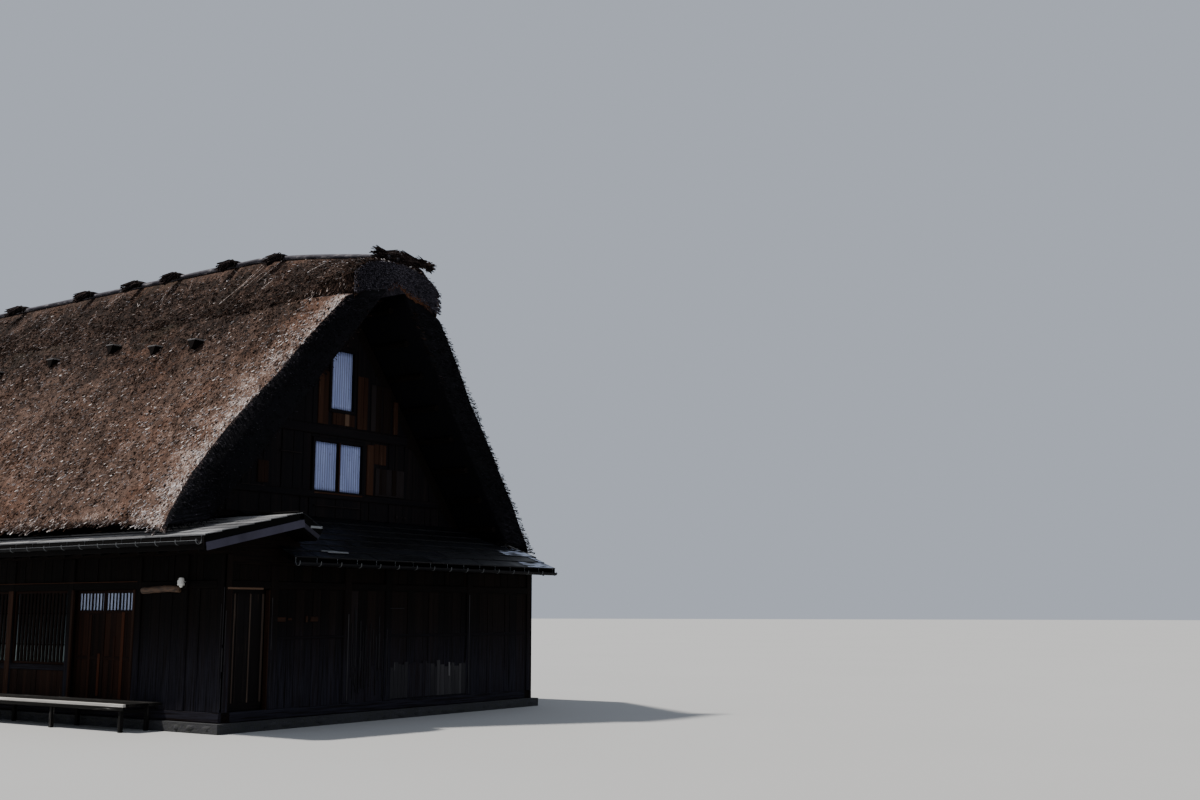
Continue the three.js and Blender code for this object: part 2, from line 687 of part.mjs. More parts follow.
// The cap's top carries the slopes on and rounds them over at the crest. Towards its ends it swells
// into a fuller hood.
function capTop(x, y) {
  const rise = crest(y) - CAP_Z;
  const rounding = ((RISE * CAP_X) ** 2 - rise ** 2) / (2 * rise);
  const even = CAP_Z + rise + rounding - Math.hypot(RISE * x, rounding);
  const hood = CAP_Z + rise * (1 - (Math.abs(x) / CAP_X) ** HOOD_POWER) ** (1 / HOOD_POWER);
  const past = Math.max(0, Math.abs(y) - CREST_BEND_Y) / (CAP_VERGE_Y - CREST_BEND_Y);
  return even + (hood - even) * past ** HOOD_SWELL;
}

function capSection(y, lift) {
  const under = capUnderside();
  const underside = [
    ...under.map(([x, z]) => [-x, z]),
    [0, CAP_APEX_Z],
    ...under.toReversed(),
  ];
  const arch = [];
  const steps = 14;
  for (let i = 1; i < steps; i++) {
    const turn = (Math.PI * i) / steps;
    const x = CAP_X * Math.sign(Math.cos(turn)) * Math.abs(Math.cos(turn)) ** (2 / HOOD_POWER);
    arch.push([x, capTop(x, y) + lift]);
  }
  return [...underside, ...arch].map(([x, z]) => [x, y, z]);
}

function capStations() {
  const half = [CREST_BEND_Y, 5600, 6500, 7300, 7800, CAP_VERGE_Y];
  return [...half.toReversed().map((y) => -y), ...half];
}

const ridgeCap = (lift = 0) => loft(capStations().map((y) => capSection(y, lift)));

// Poles along both sides of the crest, and bundles of reed bent across it. A longer bundle lies at
// each end, further out over the right slope.
function ridgePoles() {
  const [out, radius] = [120, 50];
  const bundles = [-5440, -4100, -2380, -1140, 500, 3000, 4350, 5700];
  const timbers = [];
  for (const side of [LEFT, RIGHT]) {
    const at = (y) => [side * out, y, capTop(out, y)];
    const stations = capStations();
    for (let i = 0; i + 1 < stations.length; i++) {
      timbers.push(pole(at(stations[i]), at(stations[i + 1]), radius));
    }
  }
  const [reach, droop, thickness, rise] = [600, 190, 85, 30];
  const bend = [[-reach, droop], [-reach / 2, droop / 4], [0, 0], [reach / 2, droop / 4], [reach, droop]];
  for (const y of bundles) {
    const at = ([x, fall]) => [x, y, crest(y) + rise - fall];
    for (let i = 0; i + 1 < bend.length; i++) {
      timbers.push(pole(at(bend[i]), at(bend[i + 1]), thickness));
    }
  }
  const [endY, leftEnd, rightEnd] = [8130, [-450, 8120], [1150, 8170]];
  for (const y of [-endY, endY]) {
    const ends = [leftEnd, rightEnd].map(([x, z]) => [x, y, z]);
    timbers.push(pole(ends[0], ends[1], thickness));
  }
  return join(timbers).subtract(ridgeCap(GAP));
}

// Bench and lamp on the entrance side

function bench() {
  const wall = -HALF_WIDTH - GAP;
  const pieces = [block([BENCH_X, wall], BENCH_Y, [BENCH_TOP - BENCH_PLANK, BENCH_TOP])];
  const [first, last] = inset(BENCH_Y, 2 * BENCH_LEG);
  const [frontLeg, backLeg] = [BENCH_X + BENCH_LEG, -HALF_WIDTH - 3 * BENCH_LEG];
  for (let i = 0; i < BENCH_LEG_PAIRS; i++) {
    const y = first + ((last - first) * i) / (BENCH_LEG_PAIRS - 1);
    const across = [y - BENCH_LEG / 2, y + BENCH_LEG / 2];
    for (const x of [frontLeg, backLeg]) {
      pieces.push(block([x - BENCH_LEG / 2, x + BENCH_LEG / 2], across, [0, BENCH_TOP - BENCH_PLANK / 2]));
    }
    const rail = BENCH_TOP - 2 * BENCH_PLANK;
    pieces.push(block([frontLeg, backLeg], across, [rail - BENCH_PLANK, rail]));
  }
  return join(pieces);
}

function lamp() {
  const wall = -HALF_WIDTH - GAP;
  const out = wall - LAMP_RADIUS - 35;
  const half = LAMP_HEIGHT / 2;
  const plate = block([wall - 25, wall], [LAMP_Y - 50, LAMP_Y + 50], [LAMP_Z - 80, LAMP_Z + 80]);
  const arm = block([out, wall], [LAMP_Y - 15, LAMP_Y + 15], [LAMP_Z + 20, LAMP_Z + 50]);
  const shade = pole([out, LAMP_Y, LAMP_Z - half], [out, LAMP_Y, LAMP_Z + half], LAMP_RADIUS, 12);
  return join(plate, arm, shade);
}

footings();
sills();
groundFloor();
longWalls();
endWalls();
WINDOW_BAYS.forEach((bay, i) => {
  latticeWindow("left_lattice_window_" + (i + 1), "left", bay);
  latticeWindow("right_lattice_window_" + (i + 1), "right", bay);
});
doors();
plates();
add("attic_floor", atticFloor(), FLOOR_WOOD);
add("upper_attic_floor", upperAtticFloor(), FLOOR_WOOD);
add("left_roof_frame", roofFrame(LEFT), POLE_WOOD);
add("right_roof_frame", roofFrame(RIGHT), POLE_WOOD);
for (const [name, side] of [["front", FRONT], ["back", BACK]]) {
  add(name + "_gable_wall", gableWall(side), DARK_CEDAR);
  shojiPanels(name, side);
}
leanToRoofs();
pentRoofs();
gutters();
add("left_thatch", thatchSlope(LEFT), THATCH);
add("right_thatch", thatchSlope(RIGHT), THATCH);
add("ridge_cap", ridgeCap(), MOSSY_THATCH);
add("ridge_poles", ridgePoles(), POLE_WOOD);
add("bench", bench(), BENCH_WOOD);
add("porch_lamp", lamp(), LAMP_WHITE);

export default house;
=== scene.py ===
import math

import bpy
import numpy as np
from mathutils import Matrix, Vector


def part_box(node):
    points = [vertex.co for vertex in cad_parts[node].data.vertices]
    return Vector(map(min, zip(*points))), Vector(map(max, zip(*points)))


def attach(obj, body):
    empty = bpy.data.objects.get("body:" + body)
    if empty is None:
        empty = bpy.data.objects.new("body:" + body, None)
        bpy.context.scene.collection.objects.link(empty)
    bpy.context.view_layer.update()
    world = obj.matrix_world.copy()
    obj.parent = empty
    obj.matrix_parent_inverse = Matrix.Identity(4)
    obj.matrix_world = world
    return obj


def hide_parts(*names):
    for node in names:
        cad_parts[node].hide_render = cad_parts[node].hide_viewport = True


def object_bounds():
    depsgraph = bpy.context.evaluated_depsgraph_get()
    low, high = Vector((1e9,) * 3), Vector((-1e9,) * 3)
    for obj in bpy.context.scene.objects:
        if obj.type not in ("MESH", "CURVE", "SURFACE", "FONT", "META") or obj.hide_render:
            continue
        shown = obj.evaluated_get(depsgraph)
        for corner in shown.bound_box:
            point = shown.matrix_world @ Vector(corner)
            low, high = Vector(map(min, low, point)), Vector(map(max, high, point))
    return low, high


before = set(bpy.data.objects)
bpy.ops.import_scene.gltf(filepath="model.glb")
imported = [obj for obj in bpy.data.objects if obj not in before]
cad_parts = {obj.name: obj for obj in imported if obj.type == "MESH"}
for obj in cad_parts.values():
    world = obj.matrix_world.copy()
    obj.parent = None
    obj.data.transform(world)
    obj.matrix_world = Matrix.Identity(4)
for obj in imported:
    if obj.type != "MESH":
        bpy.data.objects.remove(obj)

cad_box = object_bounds()
house = "house"

# Footings
# Rows of low field stones under the sills, laid close and bedded in earth and lime.
# Each stone is a rounded lump with a flat top that the sill bears on.


class Socket:
    """One output of a shader node. Arithmetic on it adds Math nodes."""

    def __init__(self, finish, output):
        self.finish, self.output = finish, output

    def math(self, operation, *values):
        settings = {"operation": operation}
        return self.finish.node("ShaderNodeMath", settings, dict(enumerate(values)))

    def __add__(self, other):
        return self.math("ADD", self, other)

    def __sub__(self, other):
        return self.math("SUBTRACT", self, other)

    def __rsub__(self, other):
        return self.math("SUBTRACT", other, self)

    def __mul__(self, other):
        return self.math("MULTIPLY", self, other)

    __radd__ = __add__
    __rmul__ = __mul__

    def band(self, low, high):
        """0 below low, 1 above high, and smooth between them."""
        settings = {"interpolation_type": "SMOOTHSTEP"}
        return self.finish.node("ShaderNodeMapRange", settings,
                                {"Value": self, "From Min": low, "From Max": high})


class Finish:
    """A material for one of the house's surfaces, and the nodes that make it."""

    def __init__(self, name, gloss=0.5, **values):
        self.material = bpy.data.materials.new(name)
        self.material.use_nodes = True
        self.tree = self.material.node_tree
        self.surface = self.tree.nodes["Principled BSDF"]
        self.surface.inputs["Specular IOR Level"].default_value = gloss
        for socket, value in values.items():
            self.surface.inputs[socket.replace("_", " ").title()].default_value = value

    def node(self, kind, settings, sockets, output=0):
        made = self.tree.nodes.new(kind)
        for name, value in settings.items():
            if name == "stops":
                ramp = made.color_ramp.elements
                for at, tint in value[:-2]:
                    ramp.new(at)
                for element, (at, tint) in zip(ramp, value):
                    element.position, element.color = at, (*tint, 1)
            else:
                setattr(made, name, value)
        for name, value in sockets.items():
            if isinstance(value, Socket):
                self.tree.links.new(value.output, made.inputs[name])
            else:
                made.inputs[name].default_value = value
        return Socket(self, made.outputs[output])

    def place(self):
        return self.node("ShaderNodeTexCoord", {}, {}, "Object")

    def attribute(self, name, output="Fac"):
        return self.node("ShaderNodeAttribute", {"attribute_name": name}, {}, output)

    def stretched(self, vector, factors):
        settings = {"operation": "MULTIPLY"}
        return self.node("ShaderNodeVectorMath", settings, {0: vector, 1: factors})

    def noise(self, vector, scale, detail=4.0, roughness=0.55):
        values = {"Vector": vector, "Scale": scale, "Detail": detail, "Roughness": roughness}
        return self.node("ShaderNodeTexNoise", {}, values)

    def mix(self, share, first, second):
        """Blends two colours, each a triple or a socket."""
        first, second = ((*c, 1) if isinstance(c, tuple) else c for c in (first, second))
        return self.node("ShaderNodeMix", {"data_type": "RGBA"}, {0: share, 6: first, 7: second}, 2)

    def ramp(self, share, stops):
        return self.node("ShaderNodeValToRGB", {"stops": stops}, {"Fac": share})

    def feed(self, socket, value):
        self.tree.links.new(value.output, self.surface.inputs[socket])

    def tint(self, share, first, second):
        """Gives the surface a blend of two colours."""
        self.feed("Base Color", self.mix(share, first, second))

    def bump(self, height, distance, strength=1.0):
        values = {"Height": height, "Distance": distance, "Strength": strength}
        self.feed("Normal", self.node("ShaderNodeBump", {}, values))


def dress(nodes, finish):
    """Gives carried-over nodes of the frame their finish."""
    for name in nodes:
        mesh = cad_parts[name].data
        mesh.materials.clear()
        mesh.materials.append(finish.material)


def piece(name, points, faces, finish, slot, body=house, replaces=(), smooth=False, **attributes):
    """A mesh made from arrays, riding on a body. Attributes are one number or triple for each point."""
    mesh = bpy.data.meshes.new(name)
    points = np.asarray(points, dtype=np.float32)
    mesh.from_pydata(points.tolist(), [], [list(map(int, f)) for f in faces])
    for label, values in attributes.items():
        values = np.asarray(values, dtype=np.float32)
        kind, field = ("FLOAT", "value") if values.ndim == 1 else ("FLOAT_VECTOR", "vector")
        mesh.attributes.new(label, kind, "POINT").data.foreach_set(field, values.ravel())
    mesh.polygons.foreach_set("use_smooth", [smooth] * len(mesh.polygons))
    mesh.materials.append(finish.material)
    made = bpy.data.objects.new(name, mesh)
    bpy.context.scene.collection.objects.link(made)
    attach(made, body)
    if replaces:
        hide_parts(*replaces)
    return made


def ripple(u, v, seed):
    """Smooth noise from -1 to 1 over a plane, with features about one unit across."""
    grid = np.random.default_rng(seed).uniform(-1, 1, (256, 256))
    iu, iv = np.floor(u).astype(int), np.floor(v).astype(int)
    fu, fv = u - iu, v - iv
    fu, fv = fu * fu * (3 - 2 * fu), fv * fv * (3 - 2 * fv)
    near = grid[iu % 256, iv % 256] * (1 - fu) + grid[(iu + 1) % 256, iv % 256] * fu
    far = grid[iu % 256, (iv + 1) % 256] * (1 - fu) + grid[(iu + 1) % 256, (iv + 1) % 256] * fu
    return near * (1 - fv) + far * fv


STONE_AROUND, STONE_UP, STONE_ROUND = 12, 8, 0.6


def boulder(centre, half, rng):
    """A rounded, slightly lumpy stone as points and faces."""
    turn = np.linspace(0, 2 * np.pi, STONE_AROUND, endpoint=False)
    rise = np.linspace(-np.pi / 2, np.pi / 2, STONE_UP + 1)[1:-1]
    t, r = np.meshgrid(turn, rise)
    squared = lambda wave: np.sign(wave) * np.abs(wave) ** STONE_ROUND
    lumps = 1 + rng.normal(0, 0.05, t.shape)
    ring = np.stack([squared(np.cos(r)) * squared(np.cos(t)), squared(np.cos(r)) * squared(np.sin(t)),
                     squared(np.sin(r))], -1)
    points = ring.reshape(-1, 3) * lumps.reshape(-1, 1)
    points = np.vstack([points, [[0, 0, -1], [0, 0, 1]]]) * half
    points[:, 2] = np.clip(points[:, 2], -half[2], half[2])
    rows, low, high = STONE_UP - 1, (STONE_UP - 1) * STONE_AROUND, (STONE_UP - 1) * STONE_AROUND + 1
    faces = []
    for i in range(STONE_AROUND):
        j = (i + 1) % STONE_AROUND
        faces += [(low, j, i), (high, (rows - 1) * STONE_AROUND + i, (rows - 1) * STONE_AROUND + j)]
        faces += [(k * STONE_AROUND + i, k * STONE_AROUND + j, (k + 1) * STONE_AROUND + j,
                   (k + 1) * STONE_AROUND + i)
                  for k in range(rows - 1)]
    return points + centre, faces


def gather(parts):
    """Joins (points, faces, ...) parts into one set of arrays."""
    points, faces, start = [], [], 0
    for some_points, some_faces in parts:
        points.append(some_points)
        faces += [tuple(start + i for i in face) for face in some_faces]
        start += len(some_points)
    return np.vstack(points), faces


stone = Finish("field_stone", roughness=0.9)
stone_place = stone.place()
stone_tint = stone.mix(stone.noise(stone_place, 3.0), (0.005, 0.0055, 0.0075), (0.032, 0.032, 0.038))
stone.tint(stone.noise(stone_place, 26.0, 6.0).band(0.45, 0.7), stone_tint, (0.018, 0.02, 0.015))
stone.bump(stone.noise(stone_place, 34.0, 8.0), 0.012)

for footing in ("left", "right", "front", "back"):
    low, high = (np.array(corner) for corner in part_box(footing + "_footing"))
    along = 1 if footing in ("left", "right") else 0
    rng = np.random.default_rng(len(footing) + along)
    at, stones = low[along], []
    while at < high[along] - 0.1:
        length = min(rng.uniform(0.24, 0.5), high[along] - at)
        middle, half = (low + high) / 2, (high - low) / 2 + 0.012
        middle[along], half[along] = at + length / 2, length / 2 + 0.012
        middle[2], half[2] = high[2] / 2, high[2] / 2 - rng.uniform(0, 0.012)
        stones.append(boulder(middle, half, rng))
        at += length
    piece(footing + "_footing_stones", *gather(stones), stone, "stone", smooth=True)
dress([side + "_footing" for side in ("left", "right", "front", "back")], stone)

# Sills, posts and plates
# Square-hewn cedar gone nearly black with smoke and weather, on the footings and under the roofs.
# Their edges are worn round, and drying has opened fine checks along the grain.


def timber_finish(name, dark, light, pale, wear=0.25, foot=None):
    """Sawn wood whose grain runs along the attribute 'grain', tinted piece by piece by 'tone'.
    The foot tint is what rain splashing up from the ground has left on the lowest metre or so."""
    wood = Finish(name, 0.05)
    grain = wood.attribute("grain", "Vector")
    tone = wood.attribute("tone")
    streaks = wood.noise(wood.stretched(grain, (1.6, 55.0, 55.0)), 1.0, 6.0, 0.6)
    rings = wood.noise(wood.stretched(grain, (0.5, 14.0, 14.0)), 1.0, 3.0)
    blotches = wood.noise(wood.stretched(grain, (1.5, 5.0, 5.0)), 1.0, 5.0)
    body = wood.mix((tone * 0.6 + rings * 0.75 - 0.2).band(0.05, 0.95), dark, light)
    worn = (streaks.band(0.5, 0.72) * blotches.band(0.42, 0.7) + (tone - 0.8).band(0.0, 0.2)) * wear
    if foot:
        height = wood.node("ShaderNodeSeparateXYZ", {}, {"Vector": wood.place()}, "Z")
        body = wood.mix((1.9 - height).band(0.0, 1.5) * streaks.band(0.3, 0.65), body, foot)
    wood.tint(worn.band(0.0, 1.0), body, pale)
    wood.feed("Roughness", 0.62 + streaks * 0.3)
    wood.bump(streaks, 0.006)
    return wood


def solid_timber_finish(name, dark, light, grain, gloss=0.05, roughness=0.8, fine=(6.0, 0.6), full=0.75,
                        depth=0.006):
    """Wood for nodes of the frame and round poles, its grain set by the stretch along each axis."""
    wood = Finish(name, gloss, roughness=roughness)
    streaks = wood.noise(wood.stretched(wood.place(), grain), 1.0, *fine)
    wood.tint(streaks.band(0.3, full), dark, light)
    wood.bump(streaks, depth)
    return wood


BLACK_CEDAR, BROWN_CEDAR, GREY_CEDAR = (0.0018, 0.0013, 0.0012), (0.0095, 0.0055, 0.0042), (0.05, 0.05, 0.06)
weathered = timber_finish("weathered_cedar", BLACK_CEDAR, BROWN_CEDAR, GREY_CEDAR, 0.25,
                          (0.018, 0.0175, 0.025))
upright = solid_timber_finish("cedar_upright_grain", BLACK_CEDAR, BROWN_CEDAR, (50, 50, 1.5))
lengthwise = solid_timber_finish("cedar_lengthwise_grain", BLACK_CEDAR, BROWN_CEDAR, (50, 1.5, 50))
crosswise = solid_timber_finish("cedar_crosswise_grain", BLACK_CEDAR, BROWN_CEDAR, (1.5, 50, 50))

CORNERS = np.array([(x, y, z) for x in (-1, 1) for y in (-1, 1) for z in (-1, 1)])


def chamfered():
    """Unit faces of a box with chamfered edges: three points at each corner, one on each face."""
    def at(corner, axis):
        return 3 * (4 * (corner[0] > 0) + 2 * (corner[1] > 0) + (corner[2] > 0)) + axis

    faces = [tuple(at(c, axis) for axis in range(3)) for c in CORNERS]
    for axis in range(3):
        b, c = (axis + 1) % 3, (axis + 2) % 3
        for s in (-1, 1):
            ring = []
            for sb, sc in ((-1, -1), (1, -1), (1, 1), (-1, 1)):
                corner = np.zeros(3)
                corner[axis], corner[b], corner[c] = s, sb, sc
                ring.append(at(corner, axis))
            faces.append(tuple(ring))
            for t in (-1, 1):
                ends = np.zeros((2, 3))
                ends[:, axis], ends[:, b], ends[:, c] = (-1, 1), s, t
                faces.append((at(ends[0], b), at(ends[1], b), at(ends[1], c), at(ends[0], c)))
    return faces


def outward(points, faces):
    """The faces of a convex shape, each turned to face out."""
    centre = points.mean(0)
    turned = []
    for face in faces:
        p = points[list(face)]
        normal = np.cross(p[1] - p[0], p[2] - p[0])
        turned.append(face if normal @ (p.mean(0) - centre) > 0 else face[::-1])
    return turned


UNIT_POINTS = np.repeat(CORNERS, 3, axis=0).astype(float)
UNIT_INSET = np.array([[axis != k for k in range(3)] for _ in CORNERS for axis in range(3)], dtype=float)
UNIT_FACES = outward(UNIT_POINTS * (1 - 0.2 * UNIT_INSET), chamfered())


class Timbers:
    """A set of sawn pieces that become one mesh. Each has a chamfer, a tone and a grain of its own."""

    def __init__(self, seed):
        self.rng = np.random.default_rng(seed)
        self.points, self.faces, self.grain, self.tone = [], [], [], []
        self.on()

    def on(self, axes=np.eye(3), origin=(0, 0, 0)):
        """Sets the axes, one to a row, and the origin that the next pieces are measured in."""
        self.axes, self.origin = np.asarray(axes, dtype=float), np.asarray(origin)
        return self

    def add(self, low, high, tone=None, chamfer=0.006):
        """A piece between two corners."""
        low, high = np.minimum(low, high), np.maximum(low, high)
        half = (high - low) / 2
        chamfer = min(chamfer, half.min() * 0.45)
        local = (low + high) / 2 + UNIT_POINTS * (half - UNIT_INSET * chamfer)
        along = int(np.argmax(half))
        order = [along, (along + 1) % 3, (along + 2) % 3]
        start = 24 * len(self.points)
        way = -1 if np.linalg.det(self.axes) < 0 else 1
        self.points.append(self.origin + local @ self.axes)
        self.faces += [tuple(start + i for i in face[::way]) for face in UNIT_FACES]
        self.grain.append(local[:, order] + self.rng.uniform(-40, 40, 3))
        self.tone.append(np.full(24, self.rng.uniform(0, 0.8) if tone is None else tone))

    def make(self, name, finish, slot, body=house, replaces=()):
        return piece(name, np.vstack(self.points), self.faces, finish, slot, body, replaces,
                     grain=np.vstack(self.grain), tone=np.concatenate(self.tone))


def corners(name):
    return (np.array(corner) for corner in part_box(name))


WALL_X, WALL_Y = 3.8, 8.5
SILL_TOP, HEAD, LINTEL = 0.3, 2.135, 2.25
SIDE_TOP, END_TOP = 2.65, 2.5
POST, CORNER_POST, POST_PROUD, POST_IN, SILL_FOOT = 0.15, 0.15, 0.008, 0.05, 0.152
WALLS = {
    "left": (np.array([[0, 1, 0], [1, 0, 0], [0, 0, 1]]), (-WALL_X, 0, 0)),
    "right": (np.array([[0, 1, 0], [-1, 0, 0], [0, 0, 1]]), (WALL_X, 0, 0)),
    "front": (np.array([[1, 0, 0], [0, 1, 0], [0, 0, 1]]), (0, -WALL_Y, 0)),
    "back": (np.array([[1, 0, 0], [0, -1, 0], [0, 0, 1]]), (0, WALL_Y, 0)),
}
LEFT_POSTS = (-7.6, -6.475, -4.725, -3.05, -1.45, 0.15, 1.75, 3.35, 4.95, 6.55)
POSTS = {
    "left": LEFT_POSTS,
    "right": (-6.55,) + LEFT_POSTS[2:],
    "front": (-2.8, -1.2, -0.23, 1.92),
    "back": (-2.8, -1.2, -0.23, 1.92),
}
END_OF = {"left": WALL_Y, "right": WALL_Y, "front": WALL_X, "back": WALL_X}
TOP_OF = {"left": SIDE_TOP, "right": SIDE_TOP, "front": END_TOP, "back": END_TOP}

# How pale each wall's posts and boards may be. The long walls keep to darker tones: painted shade, for the
# deep shade under the lean-to eaves.
WALL_TONE_WITH_PAINTED_SHADE = {"left": 0.3, "right": 0.3, "front": 0.7, "back": 0.7}

for wall, (axes, origin) in WALLS.items():
    frame_timbers = Timbers(11 + len(wall)).on(axes, origin)
    long_wall = wall in ("left", "right")
    for middle in POSTS[wall]:
        half = POST / 2 + POST_PROUD
        frame_timbers.add((middle - half, -POST_PROUD, SILL_TOP), (middle + half, POST_IN, TOP_OF[wall]),
                          tone=frame_timbers.rng.uniform(0, WALL_TONE_WITH_PAINTED_SHADE[wall]), chamfer=0.012)
    if long_wall:
        for end in (-1, 1):
            frame_timbers.add((end * (WALL_Y + POST_PROUD), -POST_PROUD, SILL_TOP),
                              (end * (WALL_Y - CORNER_POST), POST_IN, SIDE_TOP), chamfer=0.014)
            frame_timbers.add((end * (WALL_Y + POST_PROUD), 0.0, SILL_TOP),
                              (end * (WALL_Y - 0.02), CORNER_POST + 0.004, SIDE_TOP), chamfer=0.012)
    reach = END_OF[wall] + (POST_PROUD if long_wall else -0.2)
    frame_timbers.add((-reach, -POST_PROUD, SILL_FOOT), (reach, POST_IN, SILL_TOP + 0.004), chamfer=0.012)
    frame_timbers.make(wall + "_posts_and_sill", weathered, "dark_cedar")

dress(["left_sill", "right_sill", "left_plate", "right_plate"], lengthwise)
dress(["front_sill", "back_sill", "front_plate", "back_plate"], crosswise)

# Wall boards
# Upright cedar boards let in between the posts, under and over the head rail, nailed to the rails.
# They differ in width, tone and how far they have moved. Some are redder, and some bleached grey.

BOARD_BACK, BOARD_FRONT, BOARD_LEAST, BOARD_GAP = 0.042, 0.016, 0.06, 0.0015
WINDOW_RAIL, CROSS_RAIL, DOOR_TRACK = 0.09, 0.045, (-6.46, -1.45)
LEFT_WINDOWS = ((-4.65, -3.125), (-2.975, -1.525))
OPENINGS = {"left": LEFT_WINDOWS, "right": LEFT_WINDOWS, "front": (), "back": ()}
WINDOW_SILL = 0.92
DOORWAYS = {"left": (-6.4, -4.8), "front": (-3.65, -2.875), "right": None, "back": None}
STREAKS = 30
GREY_BAY, GREY_PATCH = (-1.12, -0.3), (-0.15, 1.84, 0.33, 0.95)
DULL_PART, BROWN_POSTS = (0.25, 0.8), (-3.05,)
RAIL_Z = {"left": (), "right": (), "front": (1.36,), "back": (1.36,)}
bleached = timber_finish("bleached_cedar", (0.02, 0.019, 0.021), (0.055, 0.052, 0.054), (0.15, 0.145, 0.145),
                         0.6)
warm = timber_finish("warm_cedar", (0.009, 0.005, 0.0035), (0.04, 0.018, 0.011), (0.19, 0.125, 0.085), 0.4)


def board_row(timbers, start, stop, low, high, width=(0.13, 0.24), tone=None):
    """Upright boards side by side from start to stop."""
    at, rng = start, timbers.rng
    while at < stop - 0.01:
        step = min(rng.uniform(*width), stop - at)
        if stop - at - step < BOARD_LEAST:
            step = stop - at
        front = BOARD_FRONT + rng.uniform(-0.004, 0.008)
        timbers.add((at + BOARD_GAP, front, low + rng.uniform(0, 0.006)),
                    (at + step - BOARD_GAP, BOARD_BACK, high), tone=tone and rng.uniform(*tone),
                    chamfer=0.004)
        at += step


for wall, (axes, origin) in WALLS.items():
    boards, warm_boards, pale_boards = (Timbers(seed + len(wall)).on(axes, origin) for seed in (31, 41, 51))
    edges = [-END_OF[wall] + CORNER_POST]
    for middle in POSTS[wall]:
        edges += [middle - POST / 2, middle + POST / 2]
    edges.append(END_OF[wall] - CORNER_POST)
    for start, stop in zip(edges[::2], edges[1::2]):
        middle = (start + stop) / 2
        top = TOP_OF[wall]
        doorway = DOORWAYS[wall]
        in_doorway = bool(doorway) and doorway[0] < middle < doorway[1]
        in_window = any(a < middle < b for a, b in OPENINGS[wall])
        shades = (0.0, WALL_TONE_WITH_PAINTED_SHADE[wall])
        if in_window:
            board_row(warm_boards, start, stop, SILL_TOP, WINDOW_SILL - WINDOW_RAIL + 0.005, tone=(0.0, 0.45))
            boards.add((start, -0.004, WINDOW_SILL - WINDOW_RAIL), (stop, POST_IN, WINDOW_SILL), tone=0.3)
        elif not in_doorway:
            grey = wall == "front" and GREY_BAY[0] < middle < GREY_BAY[1]
            board_row(boards, start, stop, SILL_TOP, HEAD, tone=(0.6, 1.12) if grey else shades)
            for _ in range(STREAKS if grey else 0):
                at, foot = boards.rng.uniform(start + 0.02, stop - 0.03), boards.rng.uniform(0.33, 0.9)
                top = foot + boards.rng.uniform(0.2, 1.1)
                pale_boards.add((at, -0.002, foot), (at + boards.rng.uniform(0.004, 0.016), 0.02, top),
                                tone=boards.rng.uniform(-0.6, -0.1), chamfer=0.002)
            for rail in () if grey else RAIL_Z[wall]:
                boards.add((start, 0.002, rail), (stop, 0.03, rail + CROSS_RAIL), tone=0.2)
        board_row(boards, start, stop, LINTEL, top, tone=shades)
        boards.add((start, -0.006, HEAD), (stop, POST_IN, LINTEL), tone=0.2)
    if wall == "front":
        left, right, low, high = GREY_PATCH
        at = left
        while at < right - 0.01:
            step = min(boards.rng.uniform(0.05, 0.12), right - at)
            dull = DULL_PART[0] < at < DULL_PART[1]
            tone = boards.rng.uniform(*((0.6, 1.1) if dull else (-0.3, 0.75))) * (dull or at > DULL_PART[1])
            top = high - boards.rng.uniform(0, 0.14)
            (boards if dull else pale_boards).add((at + 0.002, 0.0, low), (at + step - 0.002, 0.018, top),
                                                  tone=tone, chamfer=0.003)
            at += step
    if wall in ("left", "right"):
        warm_boards.add((DOOR_TRACK[0], -0.014, LINTEL), (DOOR_TRACK[1], 0.02, LINTEL + 0.014), tone=0.84)
        for middle in BROWN_POSTS:
            warm_boards.add((middle - 0.07, -0.014, SILL_TOP), (middle + 0.07, 0.0, HEAD), tone=0.7)
        warm_boards.make(wall + "_warm_boards", warm, "red_cedar")
    if wall == "front":
        pale_boards.make(wall + "_bleached_boards", bleached, "dark_cedar")
    boards.make(wall + "_wall_boards", weathered, "dark_cedar")

dress(["left_wall_front", "left_wall_back", "left_wall_over_entrance", "right_wall", "front_wall",
       "front_wall_over_door", "back_wall"], upright)
floorboards = solid_timber_finish("worn_floorboards", (0.05, 0.032, 0.02), (0.14, 0.095, 0.06), (20, 1.2, 20))
dress(["ground_floor", "attic_floor", "upper_attic_floor"], floorboards)

# Sliding doors
# Two boarded cedar leaves close the entrance, each with a barred light along its top.
# The gable has one leaf with upright slats. All run in grooves between the sill and the head rail.

RED_DARK, RED_LIGHT, RED_PALE = (0.004, 0.0022, 0.0017), (0.023, 0.009, 0.005), (0.17, 0.05, 0.02)
reddish = timber_finish("reddish_cedar", RED_DARK, RED_LIGHT, RED_PALE)

panel_light = Finish("barred_light_panel", roughness=0.5)
panel_place = panel_light.place()
panel_light.tint(panel_light.noise(panel_place, 2.5), (0.22, 0.27, 0.4), (0.5, 0.57, 0.76))

STILE, LEAF_BAND, LEAF_BOARDS, LIGHT_BARS = 0.062, 1.81, 5, 8
FOOT_RAIL, TOP_RAIL, MIDDLE_RAIL, MIDDLE_RAIL_Z = 0.12, 0.05, 0.06, 1.02


